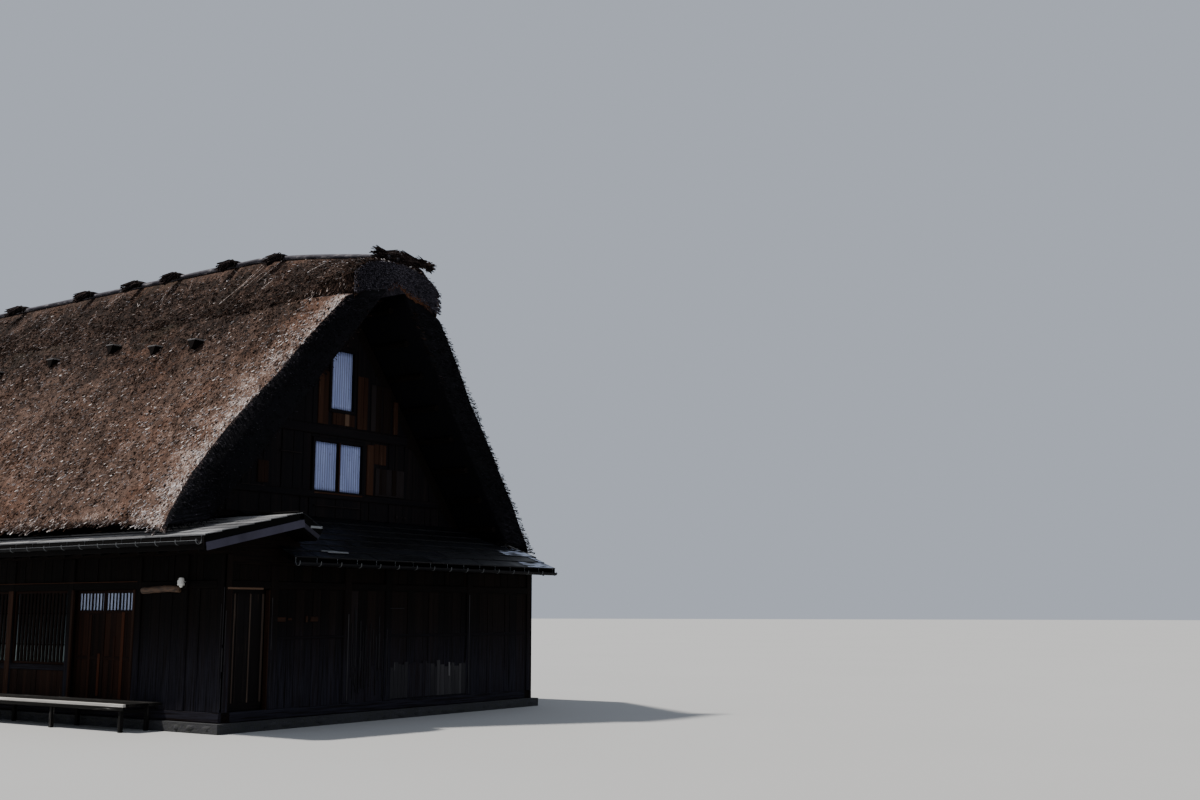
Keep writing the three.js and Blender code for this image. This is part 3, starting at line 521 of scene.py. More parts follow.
def entrance_leaf(door, worn_strips):
    """A leaf, with strips where hands and sun have worn it to orange: each (y, width, foot, top, tone)."""
    low, high = corners(door)
    leaf = Timbers(51 + len(door))
    (x0, y0, z0), (x1, y1, z1) = low, high
    for y in (y0, y1 - STILE):
        leaf.add((x0, y, z0), (x1, y + STILE, z1), tone=0.25)
    for z, depth in ((z0, FOOT_RAIL), (z1 - TOP_RAIL, TOP_RAIL), (LEAF_BAND - TOP_RAIL, TOP_RAIL),
                     (MIDDLE_RAIL_Z, MIDDLE_RAIL)):
        leaf.add((x0 + 0.002, y0 + STILE, z), (x1 - 0.002, y1 - STILE, z + depth), tone=0.35)
    width = (y1 - y0 - 2 * STILE) / LEAF_BOARDS
    for i in range(LEAF_BOARDS):
        y = y0 + STILE + i * width
        leaf.add((x0 + 0.01, y + 0.001, z0 + 0.1), (x1 - 0.01, y + width - 0.001, LEAF_BAND - 0.04),
                 chamfer=0.003)
    for middle, width, foot, top, tone in worn_strips:
        leaf.add((x0 + 0.001, middle - width / 2, foot), (x0 + 0.012, middle + width / 2, top), tone=tone,
                 chamfer=0.003)
    for i in range(LIGHT_BARS + 1):
        y = y0 + STILE + i * (y1 - y0 - 2 * STILE) / LIGHT_BARS
        half = 0.02 if i % 4 == 0 else 0.011
        leaf.add((x0 + 0.003, y - half, LEAF_BAND - 0.01), (x0 + 0.02, y + half, z1 - 0.02), tone=0.1)
    leaf.make(door + "_leaf", reddish, "red_cedar", door, (door,))
    light = Timbers(5)
    light.add((x1 - 0.012, y0 + STILE - 0.005, LEAF_BAND - 0.01), (x1 - 0.006, y1 - STILE + 0.005, z1 - 0.02))
    light.make(door + "_light", panel_light, "shoji", door)


entrance_leaf("entrance_door_near", ((-6.1, 0.07, 0.42, 1.78, 0.97), (-5.9, 0.04, 0.5, 1.4, 0.8)))
entrance_leaf("entrance_door_far", ((-5.46, 0.06, 0.45, 1.12, 1.0), (-5.2, 0.06, 0.4, 1.74, 0.82)))

low, high = corners("slatted_door")
slatted = Timbers(61)
SLAT_DARK, SLAT_LIGHT, SLAT_PALE = (0.006, 0.005, 0.0052), (0.02, 0.0155, 0.0145), (0.25, 0.175, 0.125)
slatted_finish = timber_finish("slatted_cedar", SLAT_DARK, SLAT_LIGHT, SLAT_PALE)
for x in (low[0], high[0] - STILE):
    slatted.add((x, low[1] + 0.002, low[2]), (x + STILE, high[1], high[2]), tone=0.05)
SLATTED_TOP = 0.07
for z, depth in ((low[2], FOOT_RAIL), (high[2] - SLATTED_TOP, SLATTED_TOP)):
    slatted.add((low[0] + STILE, low[1] + 0.002, z), (high[0] - STILE, high[1] - 0.002, z + depth), tone=0.05)
SLATS, STRIPS = 4, ((-3.478, -3.456, 1.0), (-3.42, -3.403, 0.8), (-3.169, -3.147, 1.4),
                    (-2.93, -2.888, 1.2))
slat_pitch = (high[0] - low[0] - 2 * STILE) / SLATS
for i in range(SLATS):
    x = low[0] + STILE + i * slat_pitch
    slatted.add((x + 0.001, low[1] + 0.014, low[2] + 0.1),
                (x + slat_pitch - 0.001, high[1] - 0.006, high[2] - 0.05), tone=slatted.rng.uniform(0, 0.15))
for left, right, tone in STRIPS:
    slatted.add((left, low[1], low[2] + FOOT_RAIL), (right, low[1] + 0.016, high[2] - SLATTED_TOP), tone=tone)
slatted.make("slatted_door_leaf", slatted_finish, "dark_cedar", "slatted_door", ("slatted_door",))

# Door surrounds and entrance log
# Planed jambs and heads, posts whose edges have bleached, and a peeled round log beside the entrance.
# All are lighter than the boards around them.

DOOR_HEAD, HEAD_REACH, JAMB, EDGE_PROUD = (2.12, 2.15), (-0.085, -0.16), 0.02, 0.014
surround, bleached_edges = (Timbers(seed).on(*WALLS["front"]) for seed in (71, 72))
doorway_low, doorway_high = DOORWAYS["front"]
surround.add((doorway_low + HEAD_REACH[0], -EDGE_PROUD, DOOR_HEAD[0]),
             (doorway_high + HEAD_REACH[1], 0.04, DOOR_HEAD[1]), tone=1.0)
for x in (doorway_low, doorway_high - JAMB):
    surround.add((x, 0.004, SILL_TOP), (x + JAMB, 0.1, DOOR_HEAD[0]), tone=0.3)
WORN_SPOTS = ((-2.78, -2.55, 1.63, 1.7), (-2.5, -2.42, 1.65, 1.69), (-2.12, -2.08, 1.62, 1.72),
              (-2.02, -1.86, 1.63, 1.71))
for left, right, foot, top in WORN_SPOTS:
    surround.add((left, -0.002, foot), (right, 0.03, top), tone=0.5)
EDGE_STRIPS = ((-1.195, -1.175, 0.35, 1.75, 0.5), (1.9, 1.915, 0.32, 2.1, 0.5), (1.35, 1.385, 0.66, 0.9, 1.0),
               (-0.2, 0.15, 1.84, 1.85, -0.1), (-3.798, -3.788, 1.3, 2.15, -0.2),
               (-3.798, -3.784, 0.9, 1.25, 0.2), (-3.798, -3.79, 0.35, 0.8, -0.2),
               (-3.752, -3.74, 1.0, 1.8, 0.1), (-3.755, -3.745, 0.35, 0.9, -0.3),
               (-2.85, -2.838, 1.2, 2.0, -0.2), (-2.85, -2.84, 0.5, 1.0, -0.4),
               (-0.27, -0.257, 0.4, 1.5, -0.3))
LEFT_EDGE_STRIPS, LEFT_JAMB = ((-8.48, -8.47, 0.6, 1.9, -0.4),), 0.03
for wall, strips in (("front", EDGE_STRIPS), ("left", LEFT_EDGE_STRIPS)):
    bleached_edges.on(*WALLS[wall])
    for left, right, foot, top, tone in strips:
        bleached_edges.add((left, -EDGE_PROUD, foot), (right, 0.0, top), tone=tone, chamfer=0.003)
surround.on(*WALLS["left"])
for y in DOORWAYS["left"]:
    surround.add((y - LEFT_JAMB, -0.02, SILL_TOP), (y + LEFT_JAMB, 0.02, HEAD), tone=0.4)
surround.make("doorway_surrounds", warm, "red_cedar")
bleached_edges.make("bleached_post_edges", bleached, "dark_cedar")


def tube(path, radii, sides=12, seed=0, lumps=0.0, first=0.0):
    """A closed pole along points, with its radius at each, as points and faces. First is a side's turn."""
    path = np.asarray(path, dtype=float)
    radii = np.broadcast_to(radii, len(path)).astype(float)
    rng = np.random.default_rng(seed)
    along = np.gradient(path, axis=0)
    along /= np.linalg.norm(along, axis=1, keepdims=True)
    side = np.cross(along, (0.0, 0.0, 1.0))
    flat = np.linalg.norm(side, axis=1) < 1e-3
    side[flat] = np.cross(along[flat], (1.0, 0.0, 0.0))
    side /= np.linalg.norm(side, axis=1, keepdims=True)
    up = np.cross(side, along)
    turn = first + np.linspace(0, 2 * np.pi, sides, endpoint=False)
    spread = radii[:, None] * (1 + lumps * rng.normal(0, 1, (len(path), sides)))
    across, rise = np.cos(turn)[None, :, None], np.sin(turn)[None, :, None]
    ring = (side[:, None] * across + up[:, None] * rise) * spread[..., None]
    points = (path[:, None] + ring).reshape(-1, 3)
    faces = []
    for k in range(len(path) - 1):
        for i in range(sides):
            j = (i + 1) % sides
            faces.append((k * sides + i, (k + 1) * sides + i, (k + 1) * sides + j, k * sides + j))
    faces.append(tuple(range(sides)))
    faces.append(tuple((len(path) - 1) * sides + i for i in reversed(range(sides))))
    return points, faces


peeled = solid_timber_finish("peeled_log", (0.022, 0.011, 0.006), (0.12, 0.066, 0.036), (40, 6, 40),
                             0.5, 0.75, (5.0, 0.55), 0.7, 0.005)
LOG_ENDS, LOG_Z, LOG_RADIUS = (-7.52, -6.64), 2.125, 0.052
log_y = np.linspace(*LOG_ENDS, 9)
log = np.stack([0 * log_y - WALL_X - 0.03, log_y, LOG_Z + 0.012 * np.sin(log_y * 5)], -1)
piece("entrance_log", *tube(log, LOG_RADIUS, 14, 3, 0.03), peeled, "pole_wood", smooth=True)

# Lattice windows
# Fine upright cedar bars in a frame, with pale boards behind them that are painted paler low down,
# as painted light, and near-black higher up, as painted shade.

SIDES = (("left", -1), ("right", 1))
lattice_back = Finish("lattice_backing", roughness=0.6)
lattice_height = lattice_back.node("ShaderNodeSeparateXYZ", {}, {"Vector": lattice_back.place()}, "Z")
# Painted light and shade: the backing is pale low down, where light comes in between the bars, and near-black
# higher up.
LATTICE_PAINTED_LIGHT_RAMP = ((0.46, (0.5, 0.62, 0.6)), (0.6, (0.42, 0.52, 0.52)), (0.64, (0.16, 0.2, 0.22)),
                (0.9, (0.02, 0.026, 0.032)))
lattice_back.feed("Base Color", lattice_back.ramp(lattice_height * 0.5, LATTICE_PAINTED_LIGHT_RAMP))
LATTICE_PITCH, LATTICE_BAR, LATTICE_RIM, CROSS_BARS = 0.1, 0.052, 0.045, (0.26, 0.68)
for side, out in SIDES:
    for number in ("1", "2"):
        name = side + "_lattice_window_" + number
        low, high = corners(name)
        face = low[0] if out < 0 else high[0]
        back = face - out * LATTICE_RIM
        lattice = Timbers(81 + int(number))
        for y in (low[1], high[1] - LATTICE_RIM):
            lattice.add((face, y, low[2]), (back, y + LATTICE_RIM, high[2]), tone=0.5)
        for z in (low[2], high[2] - LATTICE_RIM):
            lattice.add((face, low[1] + LATTICE_RIM, z), (back, high[1] - LATTICE_RIM, z + LATTICE_RIM),
                        tone=0.4)
        bars = int((high[1] - low[1] - 2 * LATTICE_RIM) / LATTICE_PITCH)
        step = (high[1] - low[1] - 2 * LATTICE_RIM) / bars
        for i in range(1, bars):
            y = low[1] + LATTICE_RIM + i * step
            lattice.add((face - out * 0.004, y - LATTICE_BAR / 2, low[2] + 0.03),
                        (face - out * 0.026, y + LATTICE_BAR / 2, high[2] - 0.03), tone=0.1, chamfer=0.002)
        for share in CROSS_BARS:
            z = low[2] + share * (high[2] - low[2])
            lattice.add((face - out * 0.024, low[1] + 0.03, z),
                        (face - out * 0.038, high[1] - 0.03, z + 0.018), tone=0.1)
        lattice.make(name + "_bars", reddish, "red_cedar", replaces=(name,))
        panel = Timbers(7)
        panel.add((back + out * 0.004, low[1] + 0.02, low[2] + 0.02),
                  (back - out * 0.006, high[1] - 0.02, high[2] - 0.02))
        panel.make(name + "_backing", lattice_back, "shoji")

# Metal roofs over the ground floor
# Painted steel sheets, hooked over one another in level courses and dulled by weather.
# The lower edge of each course stands proud of the one below, and upright joints are staggered.
# The roof over each gable end runs on to the left, under the corner roof.

# The first colour is the painted sheen, sky reflected off the metal, painted into the sheets.
SHEEN, ENDS = (0.7, 0.76, 0.92), (("front", -1), ("back", 1))


def roof_finish(name, deep, worn, shine, metallic=0.35, gloss=0.3):
    """Old painted sheet metal, each sheet with a tone of its own. A tone above one adds a painted sheen:
    bluish-white streaks of reflected sky.
    """
    metal = Finish(name, gloss, metallic=metallic)
    place = metal.place()
    tone = metal.attribute("tone")
    streaks = metal.noise(metal.stretched(place, (2.2, 2.2, 1.2)), 1.0, 5.0, 0.6)
    specks = metal.noise(place, 38.0, 6.0, 0.7)
    body = metal.mix((tone * 0.7 + streaks * 0.8 - 0.35).band(0.0, 0.9), deep, worn)
    # Painted sheen: bright streaks of reflected sky on sheets whose tone is above one.
    glints = metal.noise(metal.stretched(place, (3.0, 22.0, 8.0)), 1.0, 3.0)
    sheen = (tone - 1.0).band(0.0, 1.0) * glints.band(0.42, 0.6)
    metal.tint(sheen, metal.mix(specks.band(0.62, 0.74) * 0.6, body, shine), SHEEN)
    metal.feed("Roughness", 0.3 + streaks.band(0.25, 0.75) * 0.28 + specks * 0.1)
    metal.bump(streaks + specks * 0.25, 0.02, 0.5)
    return metal


grey_metal = roof_finish("lean_to_sheet_metal", (0.1, 0.1, 0.105), (0.34, 0.34, 0.345), (0.5, 0.5, 0.49), 0.1)
dark_metal = roof_finish("pent_sheet_metal", (0.004, 0.0045, 0.006), (0.008, 0.009, 0.013),
                         (0.02, 0.022, 0.028), gloss=0.2)
edge_metal = roof_finish("bargeboard_metal", (0.01, 0.0095, 0.0145), (0.062, 0.059, 0.088),
                         (0.1, 0.095, 0.13), 0.1, 0.1)

COURSE, SHEET, COURSE_LIFT, SHEET_THICK, PAINTED_SHEEN_COURSES = 0.285, 1.36, 0.014, 0.006, 4


def sheeted(name, origin, along, up, length, rise, finish, seed, cut=None, painted_sheen_from=math.inf):
    """Courses of sheets over a roof plane, from its eave corner, along its eave and up its slope."""
    along, up = (np.asarray(v, dtype=float) for v in (along, up))
    along, up = along / np.linalg.norm(along), up / np.linalg.norm(up)
    normal = np.cross(along, up)
    if normal[2] < 0:
        normal = -normal
    sheets = Timbers(seed)
    courses = round(rise / COURSE)
    pitch = rise / courses
    tilt = math.atan2(COURSE_LIFT, pitch)
    slope = up * math.cos(tilt) - normal * math.sin(tilt)
    face = normal * math.cos(tilt) + up * math.sin(tilt)
    for course in range(courses):
        sheets.on((along, slope, face),
                  np.asarray(origin) + up * pitch * course + normal * (COURSE_LIFT + 0.004))
        at = -SHEET * (0.5 if course % 2 else 0.0)
        while at < length:
            low, high = max(at, 0.0), min(at + SHEET, length)
            at += SHEET
            if high - low < 0.02:
                continue
            lift = sheets.rng.uniform(0, 0.002)
            # Sheets on the lowest courses, far enough along, get tones above one and so a painted sheen.
            tone = sheets.rng.uniform(1.6, 2.0) if low > painted_sheen_from and course < PAINTED_SHEEN_COURSES else None
            sheets.add((low + 0.002, 0.0, lift - SHEET_THICK), (high - 0.002, pitch + 0.004, lift), tone,
                       chamfer=0.0015)
            sheets.add((low - 0.006, 0.0, lift), (low + 0.006, pitch, lift + 0.006), chamfer=0.002)
            sheets.add((low + 0.001, -0.004, lift - 0.02), (high - 0.001, 0.002, lift + 0.002), chamfer=0.001)
    if cut:
        sheets.points = [cut(points) for points in sheets.points]
    sheets.points = [np.clip(points, cad_box[0], cad_box[1]) for points in sheets.points]
    return sheets.make(name, finish, "roof_metal")


LEAN_X, LEAN_Z, LEAN_PITCH, LEAN_TOP_X, LEAN_DEPTH = 4.6, 2.87, 0.2312, 3.7, 0.205
RETURN_X, RETURN_EDGE_X, RETURN_DROP, THATCH_GABLE_Y = 2.74, 2.3, 0.24, 7.0
lean_slant = math.hypot(1, LEAN_PITCH)
for side, out in SIDES:
    low, high = corners(side + "_lean_to_roof")
    sheeted(side + "_lean_to_sheets", (out * LEAN_X, low[1], LEAN_Z), (0, 1, 0), (-out, 0, LEAN_PITCH),
            high[1] - low[1], (LEAN_X - LEAN_TOP_X) * lean_slant, grey_metal, 91 + out)
for end in ("front", "back"):
    low, high = corners(end + "_corner_roof")
    ridge = LEAN_Z + (LEAN_X - RETURN_X) * LEAN_PITCH
    sheeted(end + "_corner_sheets", (-LEAN_TOP_X, low[1], LEAN_Z + (LEAN_X - LEAN_TOP_X) * LEAN_PITCH),
            (0, 1, 0), (1, 0, LEAN_PITCH), high[1] - low[1], (LEAN_TOP_X - RETURN_X) * lean_slant, grey_metal,
            95)
    sheeted(end + "_corner_return_sheets", (-RETURN_EDGE_X, low[1], ridge - RETURN_DROP), (0, 1, 0),
            (RETURN_EDGE_X - RETURN_X, 0, RETURN_DROP), high[1] - low[1],
            math.hypot(RETURN_X - RETURN_EDGE_X, RETURN_DROP), dark_metal, 96)

# The last of these marks how far along the pent roofs their painted sheen begins.
PENT_Y, PENT_Z, PENT_PITCH, PAINTED_SHEEN_X = 8.9, 2.62, 0.436, 2.7
PENT_LEFT, PENT_LEFT_RISE = -2.79, 0.55
EAVE_X, EAVE_Z, THATCH_RISE, THATCH_ACROSS, LEAN_END_Y = 4.6, 3.0, 1.25, 0.8, 8.0


def inner_x(z, depth=0.0):
    """Half the width inside the thatch at a height, less a depth measured across the slope."""
    return EAVE_X - THATCH_ACROSS - (z - EAVE_Z) / THATCH_RISE - depth * math.hypot(1, 1 / THATCH_RISE)


for end, out in ENDS:
    low, high = corners(end + "_pent_roof")
    top_y = THATCH_GABLE_Y + 0.02

    def under_thatch(points):
        """Keeps the sheets clear of the thatch and its purlins."""
        inside = np.abs(points[:, 1]) < LEAN_END_Y + 0.04
        points[inside, 0] = np.minimum(points[inside, 0], inner_x(points[inside, 2], 0.2))
        return points

    sheeted(end + "_pent_sheets", (low[0], out * PENT_Y, PENT_Z), (1, 0, 0), (0, -out, PENT_PITCH),
            high[0] - low[0], (PENT_Y - top_y) * math.hypot(1, PENT_PITCH), dark_metal, 97, under_thatch,
            PAINTED_SHEEN_X - low[0])
    sheeted(end + "_pent_corner_sheets", (PENT_LEFT, out * PENT_Y, PENT_Z), (1, 0, 0), (0, -out, PENT_PITCH),
            low[0] - PENT_LEFT, PENT_LEFT_RISE, dark_metal, 98)

# Bargeboards and eaves boards
# Planks under the metal's edges, nailed to the rafter ends. Along the gables they are wrapped in paler sheet,
# and a few strips of it have come loose. Boarding and rafter ends show from below.

barge, eave_trim, loose_trim, boarding = (Timbers(seed) for seed in (101, 102, 104, 105))
BARGE_Y, BARGE_SPLIT, BARGE_LAP, BOARDS_END = 8.985, -0.1, 0.02, 8.968
RISING, FALLING = (0.012, -0.225, 0.7), (0.009, -0.175, 0.3)
LOOSE_STRIP = ((-2.56, 8.9998, 3.075), (-2.31, 8.97, 3.115))
LOOSE_SHEETS = ((-1.96, -1.5, 0.18, 0.23), (-2.08, -1.72, 0.225, 0.25))
ridge_z = LEAN_Z + (LEAN_X - RETURN_X) * LEAN_PITCH
rise_way = np.array([1, 0, LEAN_PITCH]) / lean_slant
fall = np.array([RETURN_X - RETURN_EDGE_X, 0, -RETURN_DROP])
fall_length = np.linalg.norm(fall)
PENT_WAY = np.array([1, PENT_PITCH]) / math.hypot(1, PENT_PITCH)
for end, out in ENDS:
    y = out * BARGE_Y
    start = (LEAN_X - LEAN_TOP_X) * lean_slant
    for way, origin, run in ((rise_way, (-LEAN_X, y, LEAN_Z), (LEAN_X - RETURN_X) * lean_slant),
                             (fall / fall_length, (-RETURN_X, y, ridge_z), fall_length)):
        for trim in (boarding, eave_trim, barge):
            trim.on((way, (0, 1, 0), (-way[2], 0, way[0])), origin)
        boarding.add((start, -out * (BARGE_Y - BOARDS_END), -LEAN_DEPTH),
                     (run, -out * (BARGE_Y - THATCH_GABLE_Y), -0.004), tone=0.1)
        start = 0
        lap, (proud, foot, tone) = ((0, BARGE_LAP), RISING) if way is rise_way else ((-BARGE_LAP, 0), FALLING)
        eave_trim.add((lap[0], -0.01, BARGE_SPLIT), (run + lap[1], 0.012, 0.012 - lap[0] / 25), tone=0.0)
        barge.add((0.004 + lap[0], -proud, foot), (run + lap[1], proud, BARGE_SPLIT - 0.002), tone)
    eave_trim.on().add((-RETURN_X - 0.07, y, ridge_z + 0.004),
                       (-RETURN_X + 0.07, out * (THATCH_GABLE_Y + 0.02), ridge_z + 0.03), tone=0.6)
    loose_trim.on().add(*(np.array(corner) * (1, out, 1) for corner in LOOSE_STRIP), tone=0.95)
    loose_trim.on(((1, 0, 0), (0.2, -out * PENT_WAY[0], PENT_WAY[1]), (0, out * PENT_WAY[1], PENT_WAY[0])),
                  (0, out * PENT_Y, PENT_Z))
    for left, right, low, high in LOOSE_SHEETS:
        loose_trim.add((left, low, 0.03), (right, high, 0.045), tone=0.9)
boarding.on((rise_way, (0, 1, 0), (-rise_way[2], 0, rise_way[0])), (-LEAN_X, 0, LEAN_Z))
boarding.add((0.002, -BOARDS_END, -LEAN_DEPTH), ((LEAN_X - LEAN_TOP_X) * lean_slant, BOARDS_END, -0.004),
             tone=0.1)
# Near-black cedar, as painted shade under the eaves; the verge flashing uses it too.
painted_shade_cedar = timber_finish("eaves_cedar_in_painted_shade", (0.001, 0.0009, 0.001), (0.0045, 0.0036, 0.0034), (0.02, 0.02, 0.023),
                      0.2)
boarding.make("lean_to_boarding", painted_shade_cedar, "dark_cedar",
              replaces=("left_lean_to_roof", "front_corner_roof", "back_corner_roof"))
barge.make("bargeboards", edge_metal, "roof_metal")
eave_trim.make("verge_flashing", painted_shade_cedar, "roof_metal")

eaves, RAFTER_PITCH = Timbers(103), 0.455
for side, out in SIDES:
    low, high = corners(side + "_lean_to_roof")
    eaves.add((out * LEAN_X, low[1] + 0.02, LEAN_Z - LEAN_DEPTH),
              (out * (LEAN_X - 0.02), high[1] - 0.02, LEAN_Z - 0.005))
    rafters = int((high[1] - low[1]) / RAFTER_PITCH)
    for i in range(rafters):
        y = low[1] + (i + 0.5) * (high[1] - low[1]) / rafters
        eaves.on(np.array([[-out, 0, LEAN_PITCH], [0, lean_slant, 0], [out * LEAN_PITCH, 0, 1]]) / lean_slant,
                 (out * LEAN_X, y, LEAN_Z))
        eaves.add((0.03, -0.02, -LEAN_DEPTH - 0.045), (0.72, 0.02, -LEAN_DEPTH))
    eaves.on()
for end, out in ENDS:
    low, high = corners(end + "_pent_roof")
    low[0] = PENT_LEFT
    eaves.add((low[0], out * PENT_Y, PENT_Z - 0.115), (high[0] - 0.01, out * (PENT_Y - 0.02), PENT_Z - 0.005))
    rafters = int((high[0] - low[0]) / RAFTER_PITCH)
    for i in range(rafters):
        x = low[0] + (i + 0.5) * (high[0] - low[0]) / rafters
        eaves.on(((1, 0, 0), (0, -out * PENT_WAY[0], PENT_WAY[1]), (0, out * PENT_WAY[1], PENT_WAY[0])),
                 (x, out * PENT_Y, PENT_Z))
        eaves.add((-0.02, 0.03, -0.165), (0.02, 0.4, -0.12))
    eaves.on()
eaves.make("eaves_boards_and_rafters", painted_shade_cedar, "dark_cedar")
under_roof = solid_timber_finish("roof_boarding", BLACK_CEDAR, BROWN_CEDAR, (12, 1.5, 12))
dress(["left_lean_to_roof", "right_lean_to_roof", "front_corner_roof", "back_corner_roof", "front_pent_roof",
       "back_pent_roof"], under_roof)

# Gutters
# Half-round steel gutters hung from the eaves boards on flat steel hooks, with a rolled rim in front.
# Those at the gable ends run on to the left as far as the roof over them.

gutter_finish = roof_finish("gutter_metal", (0.005, 0.005, 0.006), (0.014, 0.014, 0.016), (0.03, 0.03, 0.032),
                            0.0, 0.04)
galvanized = roof_finish("galvanized_hooks", (0.09, 0.095, 0.1), (0.2, 0.21, 0.22), (0.4, 0.42, 0.44), 0.1,
                         0.15)
HOOK_PITCH, GUTTER_RADIUS, HOOK_RADIUS, RIM_RADIUS = 0.45, 0.05, 0.0055, 0.0035
hooks, painted_shade_rims = [], []
for side in ("left", "right", "front", "back"):
    low, high = corners(side + "_gutter")
    along = 1 if side in ("left", "right") else 0
    middle = (low + high) / 2
    turn = np.linspace(math.pi, 2 * math.pi, 9)
    if not along:
        arc = np.stack([0 * turn, middle[1] + GUTTER_RADIUS * np.cos(turn),
                        high[2] + GUTTER_RADIUS * np.sin(turn)], -1)
        thin = arc + (np.array([0, middle[1], high[2]]) - arc) * [0, 0.08, 0.08]
        section = np.vstack([arc, thin[::-1]])
        channel = np.vstack([section + [x, 0, 0] for x in (PENT_LEFT, low[0] + 0.002)])
        size = len(section)
        sides = [(i, (i + 1) % size, size + (i + 1) % size, size + i) for i in range(size)]
        caps = [(i, i + 1, size - 2 - i, size - 1 - i) for i in range(len(turn) - 1)]
        caps = [cap[::-1] for cap in caps] + [tuple(size + i for i in cap) for cap in caps]
        piece(side + "_gutter_end", channel, sides + caps, gutter_finish, "gutter_metal",
              tone=np.full(2 * size, 0.5))
        low[0] = PENT_LEFT
    count = int((high[along] - low[along]) / HOOK_PITCH)
    for i in range(count + 1):
        place = low[along] + 0.03 + (high[along] - low[along] - 0.06) * i / count
        ring = np.zeros((len(turn), 3))
        ring[:, 1 - along] = middle[1 - along] + GUTTER_RADIUS * np.cos(turn)
        ring[:, 2] = high[2] + 0.004 + (GUTTER_RADIUS + 0.004) * np.sin(turn)
        ring[:, along] = place
        strap = ring[:1] + [[0, 0, 0.075]]
        if abs(strap[0, 1 - along]) > abs(ring[-1, 1 - along]):
            ring, strap = ring[::-1], ring[-1:] + [[0, 0, 0.075]]
        hooks.append(tube(np.vstack([strap, ring, ring[-1:] + [[0, 0, 0.02]]]), HOOK_RADIUS, 6))
    rim = np.repeat([middle], 2, axis=0)
    rim[:, along] = low[along] + 0.004, high[along] - 0.004
    rim[:, 1 - along] += np.sign(middle[1 - along]) * (GUTTER_RADIUS - HOOK_RADIUS)
    rim[:, 2] = high[2] + 0.002
    # Rims along the gable ends take the dark gutter metal, as painted shade; along the long sides they go
    # with the pale hooks.
    (hooks if along else painted_shade_rims).append(tube(rim, RIM_RADIUS, 6))
points, faces = gather(painted_shade_rims)
piece("gutter_rims_in_painted_shade", points, faces, gutter_finish, "gutter_metal", tone=np.full(len(points), 0.5))
points, faces = gather(hooks)
points = np.clip(points, cad_box[0], cad_box[1])
piece("gutter_hooks", points, faces, galvanized, "gutter_metal", tone=np.full(len(points), 0.5))
loose_trim.make("loose_sheet_strips", galvanized, "roof_metal")
dress([side + "_gutter" for side in ("left", "right", "front", "back")], gutter_finish)

# Gable walls
# Wide upright boards, nearly black, between a sill beam and a storey beam that stand proud of them.
# The boards are cut to the slope of the thatch, and each window has a planed rim.

GABLE_Y = 7.0
STOREYS = ((3.45, 3.79), (3.91, 4.93), (5.1, 7.14))
SILL_BEAM, STOREY_BEAM = (3.79, 3.91), (4.93, 5.1)
LOWER_WINDOW, UPPER_WINDOW = (-0.65, 0.53, 3.92, 4.81), (-0.29, 0.26, 5.42, 6.52)
RIM, RAFTER_DEPTH = 0.06, 0.3
soot_black = timber_finish("gable_cedar", (0.0045, 0.0042, 0.0056), (0.021, 0.0145, 0.013),
                           (0.06, 0.05, 0.048), 0.18)
WARM_PATCHES = ((-0.61, -0.35, 5.12, 6.1, 0.2, 1.0), (-0.25, 0.31, 5.14, 5.36, 0.3, 1.0),
                (0.38, 0.64, 5.12, 6.11, 0.3, 1.1), (1.34, 1.46, 5.12, 5.75, 0.3, 0.7),
                (0.66, 0.84, 3.92, 4.86, 0.3, 1.05), (0.85, 1.17, 4.51, 4.89, 0.2, 0.9),
                (-1.95, -1.71, 3.96, 4.34, 0.0, 0.3))
GREY_PATCHES = ((0.73, 1.27, 5.12, 6.0, 0.8, 1.15), (0.89, 1.67, 3.95, 4.44, 0.8, 1.15))
PALE_EDGES = ((-1.47, -0.98, 4.54, 4.555), (-2.32, -1.8, 3.9, 3.915), (-0.64, 0.54, 3.645, 3.66),
              (0.86, 1.67, 3.925, 3.95), (1.45, 1.5, 3.54, 3.58), (1.6, 1.63, 3.54, 3.57),
              (1.68, 1.72, 3.53, 3.57))
WINDOW_STRIPS = ((-0.66, 0.54, 3.865, 3.895), (-0.075, -0.045, 3.92, 4.81))

